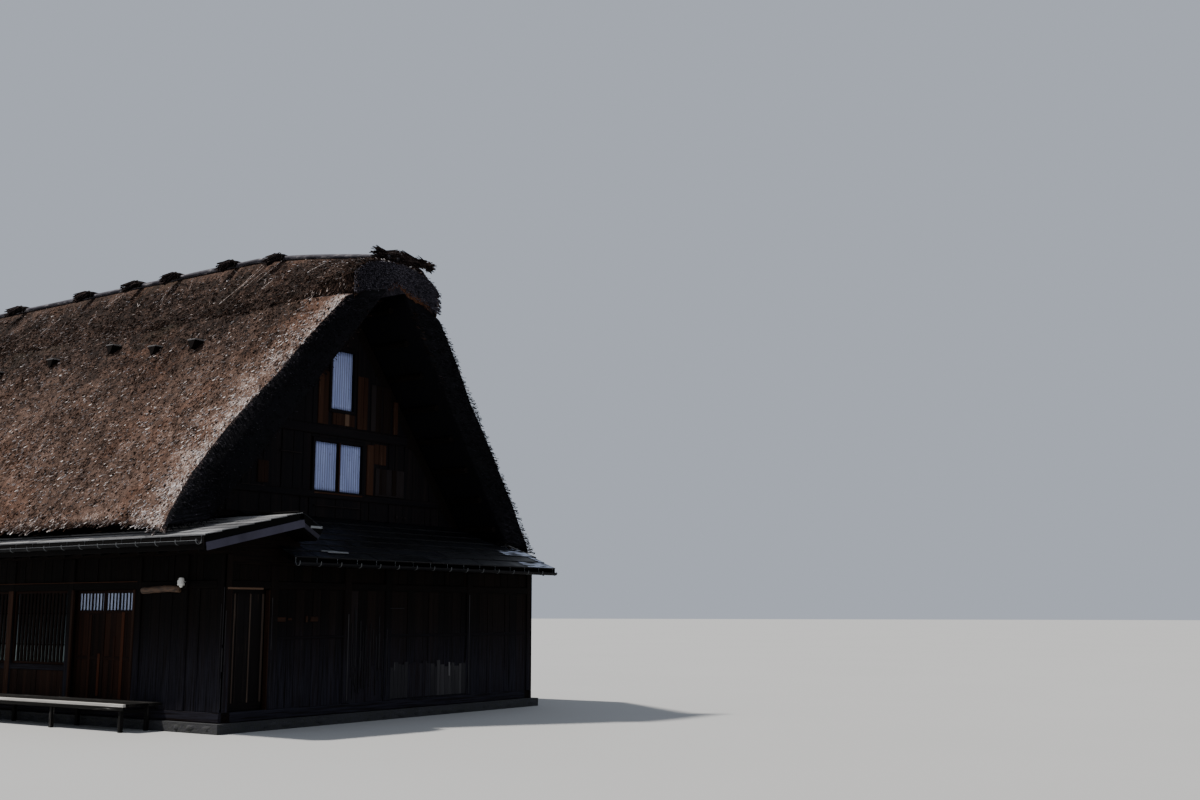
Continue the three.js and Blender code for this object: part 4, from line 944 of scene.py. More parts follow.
for end, out in ENDS:
    gable = Timbers(111 + out)
    for low_z, high_z in STOREYS:
        x = -inner_x(low_z, RAFTER_DEPTH)
        while x < inner_x(low_z, RAFTER_DEPTH) - 0.02:
            step = gable.rng.uniform(0.16, 0.27)
            spans = [(low_z, high_z)]
            for left, right, bottom, top in (LOWER_WINDOW, UPPER_WINDOW):
                if x + step > left - RIM and x < right + RIM and low_z < bottom < high_z:
                    spans = [(low_z, bottom - RIM), (top + RIM, high_z)]
            front = GABLE_Y + gable.rng.uniform(0.008, 0.022)
            for bottom, top in spans:
                if top - bottom > 0.02:
                    gable.add((x + 0.002, out * (GABLE_Y - 0.01), bottom),
                              (x + step - 0.002, out * front, top), tone=gable.rng.uniform(0.0, 0.25),
                              chamfer=0.003)
            if gable.rng.random() < 0.5 and len(spans) == 1:
                gable.add((x + step - 0.016, out * (GABLE_Y - 0.01), low_z),
                          (x + step + 0.016, out * (GABLE_Y + 0.03), high_z), tone=0.1, chamfer=0.003)
            x += step
    for points in gable.points:
        limit = (inner_x(0, RAFTER_DEPTH) - np.abs(points[:, 0])) * THATCH_RISE
        points[:, 2] = np.clip(points[:, 2], None, np.maximum(limit, points[:, 2].min() + 0.001))
    for bottom, top in (SILL_BEAM, STOREY_BEAM):
        half = inner_x(top, RAFTER_DEPTH)
        gable.add((-half, out * (GABLE_Y - 0.01), bottom), (half, out * (GABLE_Y + 0.046), top), tone=0.05,
                  chamfer=0.012)
    for left, right, bottom, top in (LOWER_WINDOW, UPPER_WINDOW):
        faces_y = (out * (GABLE_Y - 0.01), out * (GABLE_Y + 0.048))
        for x0, x1, z0, z1 in ((left - RIM, left, bottom - RIM, top + RIM),
                               (right, right + RIM, bottom - RIM, top + RIM), (left, right, top, top + RIM),
                               (left - 0.02, right + 0.02, bottom - RIM, bottom)):
            gable.add((x0, faces_y[0], z0), (x1, faces_y[1], z1), tone=0.05)
    gable.make(end + "_gable_boards", soot_black, "dark_cedar")
    for label, patches, strips, depth, tone, finish, slot in (
            ("warm", WARM_PATCHES, WINDOW_STRIPS, 0.02, 0.75, warm, "red_cedar"),
            ("grey", GREY_PATCHES, PALE_EDGES, 0.04, 1.7, weathered, "dark_cedar")):
        patched = Timbers(115 + out).on(WALLS[end][0], (0, out * (GABLE_Y + 0.052), 0))
        for left, right, bottom, top, *tones in patches:
            board_row(patched, left, right, bottom, top, (0.07, 0.15), tones)
        for left, right, bottom, top in strips:
            patched.add((left, -0.004, bottom), (right, depth, top), tone=tone, chamfer=0.003)
        patched.make(end + "_gable_" + label + "_boards", finish, slot)
dress(["front_gable_wall", "back_gable_wall"], solid_timber_finish(
    "gable_backing", (0.003, 0.002, 0.002), (0.009, 0.006, 0.005), (40, 40, 1.5)))

# Gable windows
# Weathered pale sheets with upright ribs, in dark frames, set back behind the rims. Their blue is
# partly a painted reflection of the sky, and the hollows between the ribs are darkened with painted shade.

ribbed = Finish("ribbed_window_sheet", roughness=0.55)
ribbed_place = ribbed.place()
ribbed_stain = ribbed.noise(ribbed.stretched(ribbed_place, (9, 9, 1.4)), 1.0, 6.0, 0.6)
# Pale blue, partly the sheet's own colour and partly a painted reflection of the sky.
ribbed_tint_and_sky_reflection = ribbed.mix(ribbed_stain.band(0.3, 0.75), (0.26, 0.32, 0.6), (0.4, 0.48, 0.82))
# Darker in dirty spots and, as painted shade, in the hollows between the ribs.
ribbed_wear_and_hollow_shade = ribbed.noise(ribbed_place, 21.0, 5.0).band(0.6, 0.72) * 0.3 + ribbed.attribute("hollow") * 0.75
ribbed.tint(ribbed_wear_and_hollow_shade, ribbed_tint_and_sky_reflection, (0.09, 0.1, 0.19))
ribbed.bump(ribbed_stain, 0.004)
RIB, RIB_DEPTH, RIB_BACK, SHEET_DEEP, SASH, SASH_DEEP = 0.056, 0.011, 0.014, 0.003, 0.012, 0.034

for end, out in ENDS:
    for panel in ("lower_shoji_left", "lower_shoji_right", "upper_shoji"):
        name = end + "_" + panel
        low, high = corners(name)
        face = low[1] if out < 0 else high[1]
        frame_of = Timbers(120)
        back = face - out * SASH_DEEP
        for x in (low[0] + 0.001, high[0] - SASH - 0.001):
            frame_of.add((x, face, low[2] + 0.001), (x + SASH, back, high[2] - 0.001), tone=0.4)
        for z in (low[2] + 0.001, high[2] - SASH - 0.001):
            frame_of.add((low[0] + SASH, face, z), (high[0] - SASH, back, z + SASH), tone=0.4)
        frame_of.make(name + "_sash", soot_black, "dark_cedar")
        x = np.arange(low[0] + SASH, high[0] - SASH, RIB / 8)
        x = np.append(x, high[0] - SASH)
        ribs = 0.5 * np.cos((x - x[0]) * 2 * np.pi / RIB)
        wave = face - out * (RIB_BACK + RIB_DEPTH * ribs)
        heights = np.linspace(low[2] + SASH, high[2] - SASH, 12)
        rows, count = len(heights), len(x)
        # How deep in a hollow each point is, for the painted shade between ribs.
        hollow = np.tile(0.5 + ribs, 2 * rows)
        sheet_points = [np.stack([x, wave - out * depth, np.full(count, z)], -1)
                        for depth in (0.0, SHEET_DEEP) for z in heights]
        sheet_faces = []
        for layer, turn in ((0, out > 0), (rows * count, out < 0)):
            for j in range(rows - 1):
                for i in range(count - 1):
                    a = layer + j * count + i
                    quad = (a, a + 1, a + count + 1, a + count)
                    sheet_faces.append(quad[::-1] if turn else quad)
        last = rows * count
        rim = [*range(count), *range(2 * count - 1, last, count), *range(last - 2, last - count - 1, -1),
               *range(last - 2 * count, 0, -count)]
        for a, b in zip(rim, rim[1:] + rim[:1]):
            sheet_faces.append((a, b, b + last, a + last)[::1 if out > 0 else -1])
        piece(name + "_sheet", np.vstack(sheet_points), sheet_faces, ribbed, "shoji", replaces=(name,),
              smooth=True, hollow=hollow)

# Roof frame
# Rafters of pine poles squared on two sides, round purlins lashed across them, and the attic's tie beams.
# Smoke from the hearth has blackened them.

pole_wood = solid_timber_finish("smoked_pine", (0.0022, 0.0016, 0.0013), (0.008, 0.0055, 0.0045), (30, 3, 30),
                                0.08, fine=(5.0, 0.55))
dress(["left_roof_frame", "right_roof_frame"], pole_wood)

# Thatch slopes
# Susuki grass laid in thick courses, butts down and out, then combed and cut. It has weathered brown, stays
# paler along the verges, and darkens under the ridge with moss, age and painted shade. Its undersides and cut
# ends are darkened with painted shade. The left slope's cut ends are worn hollow along their outer edge.

CAP_X, CAP_Z, CAP_HAUNCH, CAP_FOOT_Z = 1.24, 7.2, (0.79, 7.36), 7.48
EAVE_LIFT, EAVE_TRIM, EAVE_SWEEP = 0.18, 0.16, (8.05, 6.5)
VERGE_Y, VERGE_LEAN, VERGE_HOLLOW = 7.9, 0.35, 0.39
SLOPE_LENGTH = math.hypot(EAVE_X - CAP_X, CAP_Z - EAVE_Z)
BED_PITCH, BED_COARSE = 0.09, 0.5
END_SHARE, END_BULGE, ALONG_RIDGE = 0.985, 0.012, np.array([0.0, 1.0, 0.0])
REED_LENGTH, REED_GIRTH, CUT_GIRTH, REED_SHADES = (0.07, 0.14), (0.008, 0.013), (0.006, 0.011), 60
SLOPE_LUMPS = ((1.3, 1.7, 0.04), (0.42, 0.6, 0.02), (0.17, 0.3, 0.008))


# Near-black bluish greys for grass that is smoked and for grass in painted shade.
SOOT_AND_SHADE_RAMP = ((0.0, (0.0045, 0.0045, 0.006)), (0.5, (0.032, 0.03, 0.039)), (1.0, (0.13, 0.12, 0.15)))


def thatch_finish(name, soil, straw, pale, rust, moss_tint):
    """Weathered grass. 'lay' runs across and down the roof, and 'tone' is how pale it is. 'moss', 'soot'
    and 'rusted' are how overgrown, how smoked and darkened with painted shade, and how reddened it is."""
    grass = Finish(name, 0.08, roughness=0.95)
    lay = grass.attribute("lay", "Vector")
    tone, moss, soot, rusted = (grass.attribute(each) for each in ("tone", "moss", "soot", "rusted"))
    strands = grass.noise(grass.stretched(lay, (60.0, 18.0, 9.0)), 1.0, 3.0, 0.7)
    blotches = grass.noise(grass.stretched(lay, (0.7, 0.35, 0.0)), 1.0, 3.0, 0.6)
    share = tone + strands * 1.6 - 0.8
    body = grass.ramp(share, ((0.0, soil), (0.5, straw), (1.0, pale)))
    rusty = grass.ramp(share, ((0.0, soil), (0.55, rust), (1.0, straw)))
    body = grass.mix(blotches.band(0.5, 0.66) * 0.4 + rusted, body, rusty)
    grown = (moss + blotches * 0.6 - 0.3).band(0.25, 0.75)
    body = grass.mix(grown, body, moss_tint)
    grass.tint(soot, body, grass.ramp(share, SOOT_AND_SHADE_RAMP))
    grass.bump(strands, 0.012)
    return grass


grass = thatch_finish("weathered_thatch", (0.007, 0.004, 0.003), (0.122, 0.074, 0.055), (0.78, 0.73, 0.71),
                      (0.14, 0.058, 0.03), (0.036, 0.029, 0.02))


def verge_at(from_eave):
    """How far from the middle the cut end is, by distance up the slope. The ends lean out as they rise."""
    return VERGE_Y + VERGE_LEAN * from_eave / SLOPE_LENGTH


def worn_back(from_eave, side):
    """How far the outer edge of the left slope's cut ends is worn back, most of all a third of the way up."""
    return VERGE_HOLLOW * (side == "left") * np.sin(np.pi * np.clip(from_eave / SLOPE_LENGTH, 0, 1) ** 0.7)


def lumps(across, down, waves, seed):
    """How far a thatch surface swells at each place, in metres."""
    return sum(depth * ripple(across / a + 7.0 * i, down / d + 3.0 * i, seed + i)
               for i, (a, d, depth) in enumerate(waves))


def combed(roots, down, normal, lift, yaw, shorter, rng):
    """The heads of reeds that lie down a surface. Lift and yaw are the mean and spread of their angles."""
    lift, yaw = (np.radians(rng.normal(*angle, len(roots)))[:, None] for angle in (lift, yaw))
    length = (rng.uniform(*REED_LENGTH, len(roots)) * shorter)[:, None]
    sideways = ALONG_RIDGE * (np.cos(lift) * np.sin(yaw))
    return roots + length * (down * (np.cos(lift) * np.cos(yaw)) + normal * np.sin(lift) + sideways)


def sheaf(roots, heads, girth, across, down, tone, rng, moss=0, soot=0, rusted=0):
    """One kind of reed: where each is, how thick, how pale, how mossy, how smoked and darkened with painted
    shade, and how reddened.
    """
    shares = (share + 0 * tone for share in (moss, soot, rusted))
    return (roots, heads, rng.uniform(*girth, len(roots)), across, down, tone, *shares)


def reeds(name, sheaves, slot, rng, ceiling=math.inf):
    """Tufts of grass: each a spike from a root sunk in the bed to a cut butt."""
    roots, heads, girth, across, down, tone, moss, soot, rusted = map(np.concatenate, zip(*sheaves))
    heads[:, 2] = np.minimum(heads[:, 2], ceiling)
    lay = np.stack([across, down, rng.uniform(0, REED_SHADES, len(down))], -1)
    side = ALONG_RIDGE + rng.normal(0, 0.3, (len(roots), 3))
    along = heads - roots
    along /= np.linalg.norm(along, axis=1, keepdims=True)
    side = side - along * np.sum(side * along, axis=1, keepdims=True)
    side /= np.linalg.norm(side, axis=1, keepdims=True)
    third = np.cross(along, side)
    width = girth[:, None]
    butt = [heads + width * (side * math.cos(turn) + third * math.sin(turn) * 0.7)
            for turn in (0, 2 * math.pi / 3, 4 * math.pi / 3)]
    points = np.stack([roots, *butt], axis=1).reshape(-1, 3)
    first = np.arange(len(roots))[:, None] * 4
    faces = np.concatenate([first + np.array(face) for face in ((1, 2, 3), (0, 2, 1), (0, 3, 2), (0, 1, 3))])
    shades = {"lay": lay, "tone": tone, "moss": moss, "soot": soot, "rusted": rusted}
    piece(name, points, faces.tolist(), grass, slot,
          **{label: np.repeat(values, 4, axis=0) for label, values in shades.items()})


def loft(rings):
    """A closed body through rings of equally many points, with flat ends."""
    rings = np.asarray(rings)
    count, size = rings.shape[:2]
    faces = []
    for k in range(count - 1):
        for i in range(size):
            j = (i + 1) % size
            faces.append((k * size + i, k * size + j, (k + 1) * size + j, (k + 1) * size + i))
    faces.append(tuple(reversed(range(size))))
    faces.append(tuple((count - 1) * size + i for i in range(size)))
    points = rings.reshape(-1, 3)
    volume = 0.0
    for face in faces:
        fan = points[list(face)] - points[0]
        volume += np.sum(np.cross(fan[1:-1], fan[2:]) @ fan[0])
    if volume < 0:
        faces = [face[::-1] for face in faces]
    return points, faces


def close_ends(rings, lay, shaded, out, middle_of):
    """Adds a slightly smaller ring for the cut face at each end, as far out of the last ring as out says."""
    for end, at, last in ((-1, 0, rings[0]), (1, len(rings) + 1, rings[-1])):
        middle = middle_of(last)
        rings.insert(at, middle + (last - middle) * END_SHARE + [0, end * out, 0])
        lay.insert(at, lay[0 if end < 0 else -1])
        shaded.insert(at, np.ones(len(last)))


def laced(one, other):
    """Triangles that fill the strip between two edges, each a list of point numbers, from the same end."""
    triangles, i, j = [], 0, 0
    while i < len(one) - 1 or j < len(other) - 1:
        behind = (i + 1) * (len(other) - 1) <= (j + 1) * (len(one) - 1)
        if j == len(other) - 1 or (i < len(one) - 1 and behind):
            triangles.append((one[i], one[i + 1], other[j]))
            i += 1
        else:
            triangles.append((one[i], other[j + 1], other[j]))
            j += 1
    return triangles


def slope_frame(out):
    up = np.array([-out * (EAVE_X - CAP_X), 0, CAP_Z - EAVE_Z]) / SLOPE_LENGTH
    normal = np.array([out * THATCH_RISE, 0, 1]) / math.hypot(1, THATCH_RISE)
    return up, normal


def eave_trim_at(y):
    """How far up the slope the eave is trimmed. It sweeps down to its corners."""
    share = np.clip((EAVE_SWEEP[0] - np.abs(y)) / (EAVE_SWEEP[0] - EAVE_SWEEP[1]), 0, 1)
    return EAVE_TRIM * SLOPE_LENGTH / (CAP_Z - EAVE_Z) * share * (2 - share)


def age_and_shade(z):
    """How far the grass darkens towards the ridge, with age and with painted shade: not at all low down, and
    fully near the ridge.
    """
    share = np.clip((z - 5.0) / 2.6, 0, 1)
    return share * share * (3 - 2 * share)


def scattered(tone, amount, rng):
    """Tones of single reeds about a mean. One in five has rotted or sunk back and is darker."""
    return tone + np.clip(rng.normal(0, 1, len(tone)), -3, 1.6) * amount - 0.3 * (rng.random(len(tone)) < 0.2)


def slope_tone(y, from_eave, side):
    """How pale the grass is, how mossy, and how much paler along the verge, over one slope."""
    z = EAVE_Z + (CAP_Z - EAVE_Z) * from_eave / SLOPE_LENGTH
    to_verge = verge_at(from_eave) - worn_back(from_eave, side) - np.abs(y)
    verge = np.clip(1 - (to_verge + 0.22 * ripple(y * 3, from_eave * 3, 70)) / 1.05, 0, 1)
    runs = ripple(y * 1.9, from_eave * 0.25, 71)
    tone = 0.41 - 0.25 * age_and_shade(z) + 0.05 * runs + 0.04 * ripple(y / 0.6, from_eave / 0.7, 72)
    tone += 0.17 * ripple(y / 0.1, from_eave / 0.14, 74)
    tone += 0.13 * np.clip(1 - (from_eave - eave_trim_at(y)) / 0.25, 0, 1)
    tone += (0.5 + 0.35 * age_and_shade(z)) * verge ** 1.3
    moss = 0.3 * age_and_shade(z) * (1 - verge) + 0.2 * ripple(y / 1.2, from_eave / 0.9, 73)
    return tone, moss, verge


FACE_REEDS, VERGE_REEDS, EAVE_REEDS = 41500, 2400, 2600
for side, out in SIDES:
    rng = np.random.default_rng(200 + out)
    up, normal = slope_frame(out)
    inner_eave = EAVE_Z + EAVE_LIFT
    outline = [(inner_x(inner_eave), inner_eave), (EAVE_X, EAVE_Z), (CAP_X, CAP_Z), CAP_HAUNCH,
               (inner_x(CAP_FOOT_Z), CAP_FOOT_Z)]
    ring, swell, bed_from_eave = [], [], []
    for i, (a, b) in enumerate(zip(outline, outline[1:] + outline[:1])):
        length = math.dist(a, b)
        steps = max(1, round(length / (BED_PITCH if i == 1 else 0.15 if i == 0 else BED_COARSE)))
        for k in range(steps):
            share = k / steps
            ring.append((out * (a[0] + (b[0] - a[0]) * share), 0.0, a[1] + (b[1] - a[1]) * share))
            swell.append(1.0 if i == 1 or (i == 2 and k == 0) else 0.0)
            bed_from_eave.append(length * share if i == 1 else 0.0 if i == 0 else SLOPE_LENGTH)
    ring, swell, bed_from_eave = np.array(ring), np.array(swell), np.array(bed_from_eave)
    under_eave = np.clip((np.abs(ring[:, 0]) - inner_x(inner_eave)) / THATCH_ACROSS, 0, 1)
    near_eave = np.where(swell > 0, np.clip(1 - bed_from_eave / 0.8, 0, 1), under_eave)
    near_eave[np.where(swell > 0, False, ring[:, 2] > 5)] = 0
    stations = np.linspace(-VERGE_Y, VERGE_Y, round(2 * VERGE_Y / BED_PITCH) + 1)
    rings, lay, shaded = [], [], []
    for y in stations:
        across = np.full(len(ring), y)
        depth = swell * (lumps(across, bed_from_eave, SLOPE_LUMPS, 60) - 0.06 * np.exp(-bed_from_eave / 0.1))
        depth -= 0.05 * swell * np.exp(-(VERGE_Y - abs(y)) / 0.1)
        section = ring + depth[:, None] * normal + (eave_trim_at(y) * near_eave)[:, None] * up
        section[:, 1] = y * (1 + VERGE_LEAN * (ring[:, 2] - EAVE_Z) / (CAP_Z - EAVE_Z) / VERGE_Y)
        section[:, 1] -= y * swell * worn_back(bed_from_eave, side) / VERGE_Y
        rings.append(section)
        lay.append(np.stack([section[:, 1], bed_from_eave, ring[:, 2]], -1))
        shaded.append(1 - swell)
    close_ends(rings, lay, shaded, END_BULGE, lambda last: last.mean(0))
    points, faces = loft(rings)
    foot, top = (int(np.flatnonzero(swell)[k]) for k in (0, -1))
    outer_edge = list(range(foot, top + 1))
    inner_edge = [i % len(ring) for i in range(foot - 1, top - len(ring), -1)]
    strip = laced(outer_edge, inner_edge)
    last = len(points) - len(ring)
    turned = faces[0][0] > faces[0][-1]
    faces = faces[:-2] + [face[::1 if turned else -1] for face in strip]
    faces += [tuple(last + i for i in face[::-1 if turned else 1]) for face in strip]
    lay, shaded = np.vstack(lay), np.concatenate(shaded)
    tone, moss, verge = slope_tone(lay[:, 0], lay[:, 1], side)
    # The bed is painted darker than the reeds, as painted shade in the gaps between them, darker still near
    # the verges, and near-black with painted shade on its underside and cut ends.
    piece(side + "_thatch_bed", points, faces, grass, "thatch", replaces=(side + "_thatch",), smooth=True,
          lay=lay, tone=tone - 0.16 - 0.2 * verge - 0.7 * shaded, moss=moss, soot=shaded, rusted=0 * shaded)

    y = rng.uniform(-VERGE_Y, VERGE_Y, FACE_REEDS)
    s = eave_trim_at(y) + (SLOPE_LENGTH + 0.1 - eave_trim_at(y)) * rng.uniform(0.0, 1.0, FACE_REEDS)
    depth = lumps(y, s, SLOPE_LUMPS, 60) - 0.06 * np.exp(-(s - eave_trim_at(y)) / 0.1)
    depth -= 0.05 * np.exp(-(VERGE_Y - np.abs(y)) / 0.1)
    y = y * (verge_at(s) - worn_back(s, side)) / VERGE_Y
    eave = np.array([out * EAVE_X, 0, EAVE_Z])
    surface = eave + s[:, None] * up + y[:, None] * ALONG_RIDGE + (depth - 0.022)[:, None] * normal
    heads = combed(surface, -up, normal, (14, 6), (0, 11), 1.0, rng)
    tone, moss, verge = slope_tone(y, s, side)
    tone = scattered(tone + 0.06 + 0.1 * verge, 0.33 + 0.75 * verge, rng)
    sheaves = [sheaf(surface, heads, REED_GIRTH, y, s, tone, rng, moss)]

    inner_slope = np.array([-out * (EAVE_X - inner_x(inner_eave)), 0, EAVE_LIFT])
    for end in (-1, 1):
        s = rng.uniform(0, SLOPE_LENGTH, VERGE_REEDS)
        share = rng.uniform(0.0, 1.0, VERGE_REEDS) ** 1.2
        roots = eave + s[:, None] * up + share[:, None] * inner_slope - 0.04 * normal
        roots[:, 1] = end * (verge_at(s) - worn_back(s, side) * (1 - share) - 0.03)
        length = rng.uniform(0.07, 0.13, VERGE_REEDS)[:, None]
        droop = rng.uniform(0.15, 0.7, VERGE_REEDS)[:, None]
        spread = rng.normal(0, 0.12, (VERGE_REEDS, 1))
        heads = roots + length * (end * ALONG_RIDGE - up * droop + normal * spread)
        # The cut ends' reeds are darkened with painted shade: wholly on the right slope, less towards the
        # outer edge on the left, where they are paler.
        outer = 1.0 if side == "left" else 0.0
        tone = scattered(outer * 0.4 * (1 - share) ** 8, 0.1, rng)
        soot = np.clip(1 - 0.5 * outer + 6 * share, 0, 1)
        soot *= 1 - 0.8 * (share > 0.86) * np.clip((s / SLOPE_LENGTH - 0.62) / 0.25, 0, 1)
        sheaves.append(sheaf(roots, heads, CUT_GIRTH, share * 0.7, s, tone, rng, soot=soot))
    y = rng.uniform(-VERGE_Y, VERGE_Y, EAVE_REEDS)
    share = rng.uniform(0.0, 1.0, EAVE_REEDS)
    roots = eave + [-out * 0.02, 0, 0.04] + share[:, None] * inner_slope + y[:, None] * ALONG_RIDGE
    roots += (eave_trim_at(y) * (1 - share))[:, None] * up
    heads = roots - up * rng.uniform(0.06, 0.12, EAVE_REEDS)[:, None] + rng.normal(0, 0.012, (EAVE_REEDS, 3))
    # Reeds deeper under the eave are darkened with painted shade.
    tone = scattered(0.1 + 0.3 * (1 - share) ** 4, 0.12, rng)
    soot = np.clip(4 * share - 0.6, 0, 1)
    sheaves.append(sheaf(roots, heads, CUT_GIRTH, y, share, tone, rng, soot=soot))
    reeds(side + "_thatch_reeds", sheaves, "thatch", rng)

# Needle poles
# Split poles that pin the ridge cap pass right through the thatch under it. Their dark ends show on
# both slopes, each with a pale strip along its top: a painted highlight where the sun catches it.

NEEDLES = ((-5.03, 6.6), (-3.9, 6.61), (-2.37, 6.83), (-0.57, 6.73), (1.3, 6.66), (3.0, 6.75), (4.7, 6.69))
NEEDLE_RADIUS, NEEDLE_OUT, NEEDLE_HIGHLIGHT = 0.095, 0.14, (0.048, 0.072)
NEEDLE_SECTION = ((0, -1.0, 0.5), (0, 1.0, 0.5), (0, 0.35, -1.1), (0, -0.25, -0.9))
bleached_pole = Finish("bleached_pole", 0.2, roughness=0.75)
bleached_place = bleached_pole.place()
bleached_streaks = bleached_pole.noise(bleached_pole.stretched(bleached_place, (14, 3, 14)), 1.0, 5.0, 0.65)
bleached_pole.feed("Base Color", bleached_pole.ramp(bleached_streaks, (
    (0.35, (0.016, 0.015, 0.02)), (0.55, (0.05, 0.047, 0.06)), (0.75, (0.36, 0.34, 0.34)))))
bleached_pole.bump(bleached_streaks, 0.006)
needles, needle_highlights = [], Timbers(181)
for y, z in NEEDLES:
    reach = EAVE_X - (z - EAVE_Z) / THATCH_RISE + NEEDLE_OUT
    x = np.linspace(-reach, reach, 7)
    needles.append(loft([np.array(NEEDLE_SECTION) * NEEDLE_RADIUS + (at, y, z) for at in x]))
    for out in (-1, 1):
        # A pale strip on top of each end: a painted highlight.
        needle_highlights.add((out * (reach - 0.2), y - NEEDLE_RADIUS - 0.01, z + NEEDLE_HIGHLIGHT[0]),
                        (out * (reach + 0.005), y + NEEDLE_RADIUS + 0.02, z + NEEDLE_HIGHLIGHT[1]), tone=1.5)
needle_wood = solid_timber_finish("needle_pole_wood", (0.0025, 0.002, 0.002), (0.009, 0.0055, 0.0045),
                                  (1.5, 40, 40))
piece("needle_poles", *gather(needles), needle_wood, "pole_wood")
needle_highlights.make("needle_pole_painted_highlights", bleached, "pole_wood")

# Ridge cap
# A thick saddle of grass laid across the ridge, overhanging both slopes and both gables.
# It is older and mossier than the slopes, darker too with painted shade, and shaggy along its lower edges.
# Its underside and hood ends are darkened with painted shade.

CAP_VERGE_Y, CREST_LEVEL, CREST_END, CREST_BEND_Y = 8.35, 8.57, 8.04, 4.7
HOOD_POWER, HOOD_SWELL, CAP_APEX_Z = 2.3, 3, 7.62
HOOD_NIP, HOOD_DISH, REED_CEILING = 0.15, 0.042, 8.66


def past_bend(y):
    return np.clip((np.abs(y) - CREST_BEND_Y) / (CAP_VERGE_Y - CREST_BEND_Y), 0, None)


def crest(y):
    return CREST_LEVEL - (CREST_LEVEL - CREST_END) * past_bend(y) ** 1.3


def cap_top(x, y):
    """Height of the cap. It carries the slopes on, rounds them over, and swells into a hood at its ends."""
    rise = crest(y) - CAP_Z
    rounding = ((THATCH_RISE * CAP_X) ** 2 - rise ** 2) / (2 * rise)
    even = CAP_Z + rise + rounding - np.hypot(THATCH_RISE * x, rounding)
    hood = CAP_Z + rise * np.clip(1 - (np.abs(x) / CAP_X) ** HOOD_POWER, 0, None) ** (1 / HOOD_POWER)
    return even + (hood - even) * past_bend(y) ** HOOD_SWELL


def cap_point(turn, y):
    """A place on the cap's top: turn is 0 at the right edge, half pi at the crest, pi at the left edge."""
    x = CAP_X * np.sign(np.cos(turn)) * np.abs(np.cos(turn)) ** (2 / HOOD_POWER)
    widest = CAP_X - HOOD_NIP * past_bend(y) ** HOOD_SWELL
    return np.stack([np.clip(x, -widest, widest), y, cap_top(x, y)], -1)


def cap_normal(turn, y):
    step = 0.02
    turn = np.clip(turn, step, np.pi - step)
    run = cap_point(turn + step, y) - cap_point(turn - step, y)
    normal = np.stack([run[..., 2], np.zeros_like(y), -run[..., 0]], -1)
    return normal / np.linalg.norm(normal, axis=-1, keepdims=True)


def cap_depth(turn, y):
    """The cap swells less along its edges and stays under the poles along the crest."""
    arc = SLOPE_LENGTH + np.minimum(turn, np.pi - turn) * CAP_X
    spare = np.clip(np.abs(np.cos(turn)) * 3 - 0.6, 0, 1)
    edge = np.exp(-(CAP_VERGE_Y - np.abs(y)) / 0.12)
    return lumps(y, arc, SLOPE_LUMPS, 60) * spare - 0.012 - 0.05 * edge


rng = np.random.default_rng(300)
turns = np.linspace(0.0, np.pi, 45)
foot_x, (haunch_x, haunch_z) = inner_x(CAP_FOOT_Z), CAP_HAUNCH
under = [(-haunch_x, haunch_z), (-foot_x, CAP_FOOT_Z), (0.0, CAP_APEX_Z), (foot_x, CAP_FOOT_Z),
         (haunch_x, haunch_z)]
rings, lay = [], []
for y in np.linspace(-CAP_VERGE_Y, CAP_VERGE_Y, 166):
    across = np.full(len(turns), y)
    top = cap_point(turns, across) + cap_depth(turns, across)[:, None] * cap_normal(turns, across)
    rings.append(np.vstack([top, [(x, y, z) for x, z in under]]))
    lay.append(np.concatenate([np.stack([across, turns * CAP_X, top[:, 2]], -1),
                               [(y, z, x) for x, z in under]]))
cap_shaded = [np.concatenate([np.zeros(len(turns)), np.ones(len(under))])] * len(rings)
close_ends(rings, lay, cap_shaded, -HOOD_DISH, lambda last: np.array([0, last[0, 1], CAP_APEX_Z]))
points, faces = loft(rings)
lay, cap_shaded = np.vstack(lay), np.concatenate(cap_shaded)


def cap_tone(across, z):
    """The cap goes on from the slopes' tone, and grows mossier up along the crest."""
    tone = 0.41 - 0.25 * age_and_shade(z) + 0.07 * ripple(across * 1.7, z, 91) + 0.12 * np.clip((z - 8.1) / 0.3, 0, 1)
    tone += 0.17 * ripple(across / 0.1, z / 0.13, 93)
    moss = 0.2 * age_and_shade(z) + 0.22 * ripple(across / 0.8, z * 2, 92)
    return tone, moss


tone, moss = cap_tone(lay[:, 0], points[:, 2])
# The bed is painted darker than the reeds, as painted shade in the gaps between them; its underside and hood
# ends are darkened with painted shade.
piece("ridge_cap_bed", points, faces, grass, "mossy_thatch", replaces=("ridge_cap",), smooth=True,
      lay=lay, tone=tone - 0.16 + 0.5 * cap_shaded, moss=moss, soot=cap_shaded, rusted=0 * cap_shaded)

TOP_REEDS, HOOD_REEDS, FRINGE_REEDS = 40500, 2600, 400
y = rng.uniform(-CAP_VERGE_Y, CAP_VERGE_Y, TOP_REEDS)
turn = rng.uniform(0.0, np.pi, TOP_REEDS)
normal = cap_normal(turn, y)
roots = cap_point(turn, y) + (cap_depth(turn, y) - 0.02)[:, None] * normal
downward = np.stack([-normal[:, 2] * -np.sign(np.cos(turn)), 0 * y, -np.abs(normal[:, 0])], -1)
downward /= np.linalg.norm(downward, axis=1, keepdims=True)
near_edges = np.clip(np.sin(turn) * 4, 0.45, 1) * np.clip(np.abs(np.cos(turn)) * 5, 0.3, 1)
heads = combed(roots, downward, normal, (15, 7), (0, 14), near_edges, rng)
tone, moss = cap_tone(y, roots[:, 2])
tone = scattered(tone + 0.06, 0.25 + 0.5 * (np.abs(np.cos(turn)) < 0.45) * (rng.random(TOP_REEDS) < 0.3), rng)
sheaves = [sheaf(roots, heads, REED_GIRTH, y, turn * CAP_X, tone, rng, moss)]
